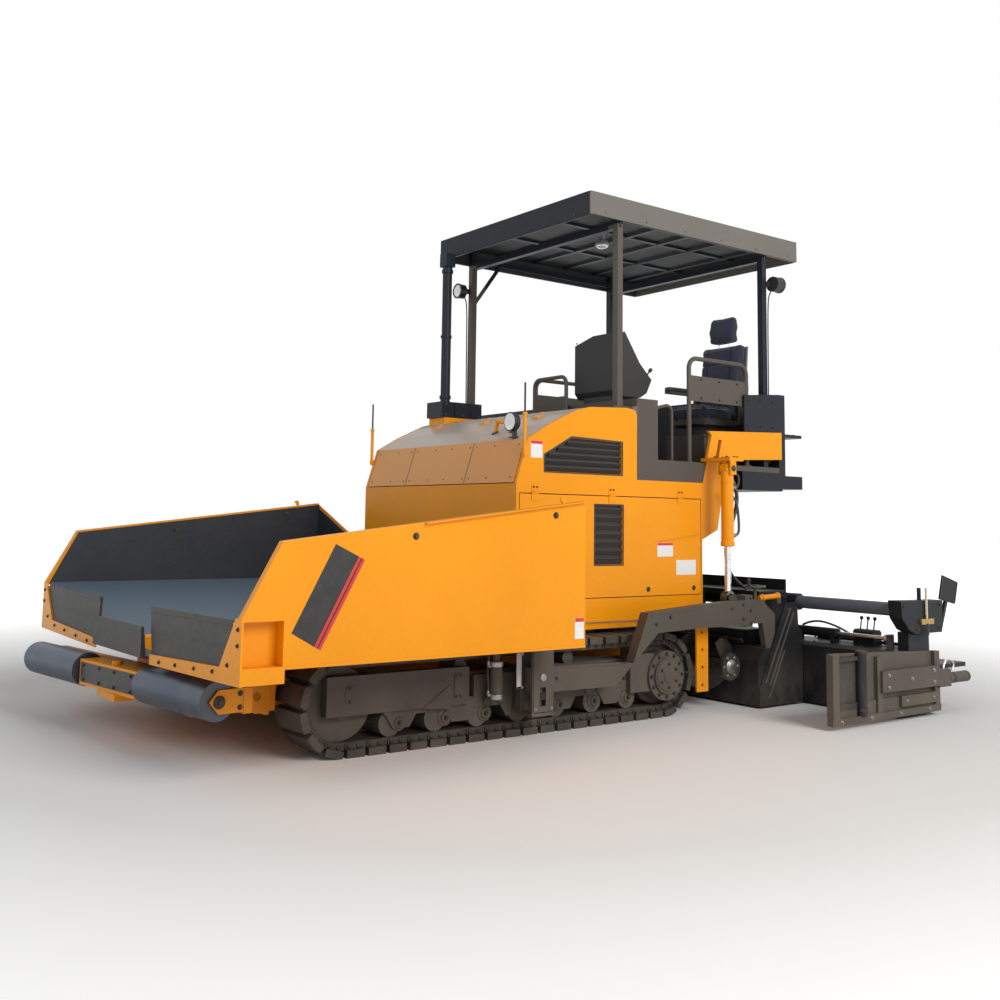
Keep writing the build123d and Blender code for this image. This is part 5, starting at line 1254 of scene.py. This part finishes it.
# ---------------------------------------------------------------- extensions and end gates
RAM_X, RAM_Z = -2.13, 0.52    # the axis of the cylinder that moves an extension
GATE_Y = 2.0753               # the outer face of the gate's plate
for side, s in SIDES:
    ext, gate = "extension_" + side, "gate_" + side
    walk, gear, bolts, chrome, knobs = shapes(5)
    walk.box(-2.875, -2.445, s * 1.015, s * 2.005, 0.327, 0.331)
    piece("extension_walk_tread_" + side, walk, ext, "grey_paint", 0.001, "foot_tread")
    # spreading cylinder, valve block, lines and small levers on top of the extension
    gear.turned((RAM_X, s * 1.10, RAM_Z), (0, s, 0), [(0, 0.03), (0.006, 0.036), (0.36, 0.036),
                                                      (0.366, 0.031)], 28)
    for y in (1.12, 1.43):
        gear.box(-2.165, -2.095, s * (y - 0.015), s * (y + 0.015), 0.449, 0.53)
    gear.prism([(-2.28, 0.449), (-2.28, 0.545), (-2.26, 0.56), (-2.20, 0.56), (-2.18, 0.545), (-2.18, 0.449)],
               "Y", s * 1.55, s * 1.72)
    gear.box(-2.36, -2.30, s * 1.15, s * 1.32, 0.449, 0.50)
    gear.rod((-2.30, s * 1.36, 0.47), (-2.30, s * 1.93, 0.47), 0.012, 14)
    piece("extension_gear_" + side, gear, ext, "grey_paint", 0.002, "screed_black")
    chrome.rod((RAM_X, s * 1.462, RAM_Z), (RAM_X, s * 1.86, RAM_Z), 0.016)
    chrome.ring((RAM_X, s * 1.85, RAM_Z), (0, s, 0), 0.012, 0.03, 0.03, 24)
    piece("extension_cylinder_rod_" + side, chrome, ext, "rod_chrome", 0.0005)
    lug = Shape()
    lug.box(-2.16, -2.10, s * 1.875, s * 1.9, 0.449, 0.55)
    piece("extension_cylinder_lug_" + side, lug, ext, "grey_paint", 0.002)
    for y in (1.58, 1.635, 1.69):
        knobs.rod((-2.23, s * y, 0.558), (-2.245, s * y, 0.63), 0.005, 10)
        knobs.turned((-2.245, s * y, 0.626), (-0.2, 0, 1), [(0, 0.007), (0.008, 0.013), (0.02, 0.013),
                                                            (0.027, 0.006)], 16)
    piece("extension_levers_" + side, knobs, ext, "lamp_plastic", 0.0004)
    bolts.bolts(grid((-2.06, -2.36), (s * 1.09, s * 1.3, s * 1.5, s * 1.7, s * 1.9), 0.4495), (0, 0, 1),
                0.008)
    bolts.bolts(grid(-2.40, (s * 1.05, s * 1.25, s * 1.45, s * 1.65, s * 1.85, s * 1.98), (0.06, 0.38)),
                (-1, 0, 0), 0.008)
    for x, z in ((-2.0, 0.76), (-2.44, 0.76), (-2.43, 0.60), (-2.16, 0.60)):
        bolts.bolt((x, s * 2.085, z), (0, s, 0), 0.008)
    piece("extension_bolts_" + side, bolts, ext, "grey_paint", look="bolt_dark")
    hose("extension_hose_a_" + side, sided(s, [(-2.23, 1.55, 0.51), (-2.23, 1.50, 0.51), (-2.20, 1.42, 0.56),
                                               (-2.15, 1.30, 0.60), (-2.13, 1.20, 0.585),
                                               (-2.13, 1.15, 0.56)]), 0.008, ext)
    hose("extension_hose_b_" + side, sided(s, [(-2.25, 1.55, 0.50), (-2.25, 1.47, 0.49), (-2.22, 1.35, 0.50),
                                               (-2.19, 1.22, 0.54), (-2.16, 1.14, 0.545)]), 0.008, ext)
    # brown nut and pale spindle in front of the box, and the edge of the paddle
    nut, spindle = shapes(2)
    nut.prism([(-2.335, s * 2.03), (-2.335, s * 2.1035), (-2.185, s * 2.1035), (-2.185, s * 2.03)],
              "Z", 0.632, 0.672)
    nut.turned((-2.255, s * 2.0935, 0.672), (0, 0, 1), [(-0.002, 0.0095), (0.025, 0.0095), (0.028, 0.0085)])
    piece("gate_nut_" + side, nut, ext, "grey_paint", 0.003, "brass_fitting")
    spindle.rod((-2.255, s * 2.0945, 0.60), (-2.255, s * 2.0945, 0.885), 0.009)
    piece("gate_spindle_" + side, spindle, ext, "rod_chrome", 0, "plate_ivory")
    paddle = Shape()
    for a, b in (((-2.47, 0.799), (-2.512, 0.955)), ((-2.66, 0.765), (-2.70, 0.905))):
        paddle.rod((a[0], s * 2.0705, a[1]), (b[0], s * 2.0705, b[1]), 0.003, 8)
    piece("paddle_edges_" + side, paddle, ext, "grey_paint")

    gate_bolts, trim = shapes(2)
    gate_bolts.bolts(grid((-1.30, -1.62, -1.95, -2.30), s * GATE_Y, 0.052), (0, s, 0), 0.009)
    for x, z in ((-1.80, 0.235), (-1.80, 0.315), (-2.34, 0.235), (-2.34, 0.315), (-2.07, 0.275)):
        gate_bolts.bolt((x, s * (GATE_Y + 0.015), z), (0, s, 0), 0.009)
    gate_bolts.bolts(grid((-2.02, -2.34), s * (GATE_Y + 0.005), 0.13), (0, s, 0), 0.008)
    piece("gate_bolts_" + side, gate_bolts, gate, "grey_paint", look="bolt_zinc")
    for z in (0.47, 0.10):
        trim.ring((-1.53, s * (GATE_Y - 0.009), z), (0, 0, 1), 0.0335, 0.0375, 0.02)
    for x in (-2.60, -2.78):
        trim.ring((x, s * (GATE_Y - 0.025), 0.24), (-1, 0, 0), 0.0365, 0.0388, 0.03)
    piece("gate_rings_" + side, trim, gate, "grey_paint", 0.0006, "bolt_dark")
    hose("gate_hook_" + side, [(x, s * 2.06, z) for x, z in ((-2.50, 0.30), (-2.51, 0.345), (-2.55, 0.375),
                                                             (-2.61, 0.365), (-2.64, 0.33), (-2.62, 0.295))],
         0.008, gate, "rod_chrome")

# ---------------------------------------------------------------- augers
AUGER_X, AUGER_Z = -1.3, 0.3
DISC_Y = 1.162    # the outer face of the auger's end disc
for side, s in SIDES:
    hub, nuts = shapes(2)
    hub.turned((AUGER_X, s * DISC_Y, AUGER_Z), (0, s, 0), [(-0.002, 0.05), (0.004, 0.05), (0.007, 0.045),
                                                           (0.012, 0.044), (0.02, 0.03)], 32)
    piece("auger_hub_" + side, hub, "auger_" + side, "auger_iron", 0.0008, "bolt_zinc")
    for x, z in around(AUGER_X, AUGER_Z, 0.07, 6):
        nuts.bolt((x, s * DISC_Y, z), (0, s, 0), 0.008)
    piece("auger_bolts_" + side, nuts, "auger_" + side, "auger_iron", look="bolt_zinc")
carrier = Shape()
for x in (-1.36, -1.30, -1.24):
    for out in (1, -1):
        carrier.bolt((x, out * 0.085, 0.48), (0, out, 0), 0.01)
piece("auger_carrier_bolts", carrier, "chassis", "grey_paint", look="bolt_dark")

# ---------------------------------------------------------------- rear of the body
BACK_X = -2.247    # the rear face of the guard
doors, fittings, slots = shapes(3)
for s in (-1, 1):
    doors.box(BACK_X - 0.006, BACK_X + 0.001, s * 0.02, s * 0.87, 1.72, 2.285)
    for z in (1.8, 2.2):
        fittings.rod((BACK_X - 0.008, s * 0.876, z - 0.03), (BACK_X - 0.008, s * 0.876, z + 0.03), 0.007, 14)
        fittings.box(BACK_X - 0.009, BACK_X - 0.004, s * 0.84, s * 0.876, z - 0.025, z + 0.025)
    fittings.turned((BACK_X - 0.006, s * 0.07, 2.0), (-1, 0, 0), [(-0.001, 0.02), (0.003, 0.02),
                                                                  (0.006, 0.016)])
    fittings.box(BACK_X - 0.022, BACK_X - 0.010, s * 0.055, s * 0.085, 1.97, 2.03)
    for step in range(6):
        z = 1.80 + 0.03 * step
        slots.prism([(BACK_X - 0.005, z), (BACK_X - 0.013, z), (BACK_X - 0.005, z + 0.02)],
                    "Y", s * 0.25, s * 0.65)
piece("rear_doors", doors, "chassis", "dark_paint", 0.002)
piece("rear_door_fittings", fittings, "chassis", "dark_paint", 0.0006, "bolt_dark")
piece("rear_door_louvres", slots, "chassis", "dark_paint", 0.0006)
rail_bolts = Shape()
for s in (-1, 1):
    rail_bolts.bolts(grid((-2.29, -2.41), (s * 0.68, s * 0.78, s * 0.87), 2.021), (0, 0, 1), 0.007)
    rail_bolts.bolts(grid((-1.80, -1.95, -2.10), s * 0.921, (2.06, 2.26)), (0, s, 0), 0.006)
    rail_bolts.bolts(grid(-2.457, (s * 0.1, s * 0.35, s * 0.6, s * 0.85), 1.64), (-1, 0, 0), 0.008)
piece("rear_guard_bolts", rail_bolts, "chassis", "dark_paint", look="bolt_dark")

# wing cylinder hoses
for side, s in SIDES:
    hose("wing_hose_" + side, sided(s, [(2.13, 0.46, 0.45), (2.12, 0.50, 0.47), (2.10, 0.52, 0.40),
                                        (2.105, 0.50, 0.30), (2.115, 0.46, 0.24)]), 0.008, "chassis")

# ---------------------------------------------------------------- floor, world and lamps
floor_mesh = bpy.data.meshes.new("floor")
FLOOR_HALF = 60.0
floor_mesh.from_pydata([(x * FLOOR_HALF, y * FLOOR_HALF, 0) for x, y in ((-1, -1), (1, -1), (1, 1), (-1, 1))],
                       [], [(0, 1, 2, 3)])
floor = bpy.data.objects.new("floor", floor_mesh)
scene.collection.objects.link(floor)
stage = Nodes("floor")
far = stage.node("VectorMath")  # the floor turns as white as the sky with distance
far.operation = "LENGTH"
stage.put(far.inputs[0], stage.coords["Object"])
stage.finish(stage.mix(stage.noise(0.8, 3.0), (0.80, 0.80, 0.79), (0.84, 0.84, 0.83)), 0.8,
             Emission_Color=(1, 1, 1), Emission_Strength=stage.span(far.outputs["Value"], 3.6, 10.0))
floor_mesh.materials.append(stage.material)

AMBIENT = 0.3     # the sky's light on the machine
WHITE = 1.0       # the sky as it is seen
world = bpy.data.worlds.new("studio")
world.use_nodes = True
scene.world = world
tree = world.node_tree
background = tree.nodes["Background"]
path = tree.nodes.new("ShaderNodeLightPath")


def larger(a, b):
    """The larger of two node outputs."""
    node = tree.nodes.new("ShaderNodeMath")
    node.operation = "MAXIMUM"
    tree.links.new(a, node.inputs[0])
    tree.links.new(b, node.inputs[1])
    return node.outputs[0]


seen = larger(larger(path.outputs["Is Camera Ray"], path.outputs["Is Glossy Ray"]),
              path.outputs["Is Transmission Ray"])
strength = tree.nodes.new("ShaderNodeMapRange")
strength.inputs["To Min"].default_value = AMBIENT
strength.inputs["To Max"].default_value = WHITE
tree.links.new(seen, strength.inputs["Value"])
tree.links.new(strength.outputs["Result"], background.inputs["Strength"])
background.inputs["Color"].default_value = (1, 1, 1, 1)


def area_light(name, place, target, size, power, color=(1, 1, 1)):
    data = bpy.data.lights.new(name, "AREA")
    data.shape = "SQUARE"
    data.size = size
    data.energy = power
    data.color = color
    lamp = bpy.data.objects.new(name, data)
    lamp.location = place
    lamp.rotation_euler = (Vector(target) - Vector(place)).to_track_quat("-Z", "Y").to_euler()
    scene.collection.objects.link(lamp)


area_light("key", (-0.5, 12.0, 7.5), (0.0, 0.0, 1.4), 6.0, 1120.0, (1.0, 0.98, 0.95))
area_light("fill", (10.0, 2.0, 6.0), (0.5, 0.0, 1.2), 6.0, 190.0, (0.85, 0.92, 1.0))

scene.view_settings.view_transform = "Standard"
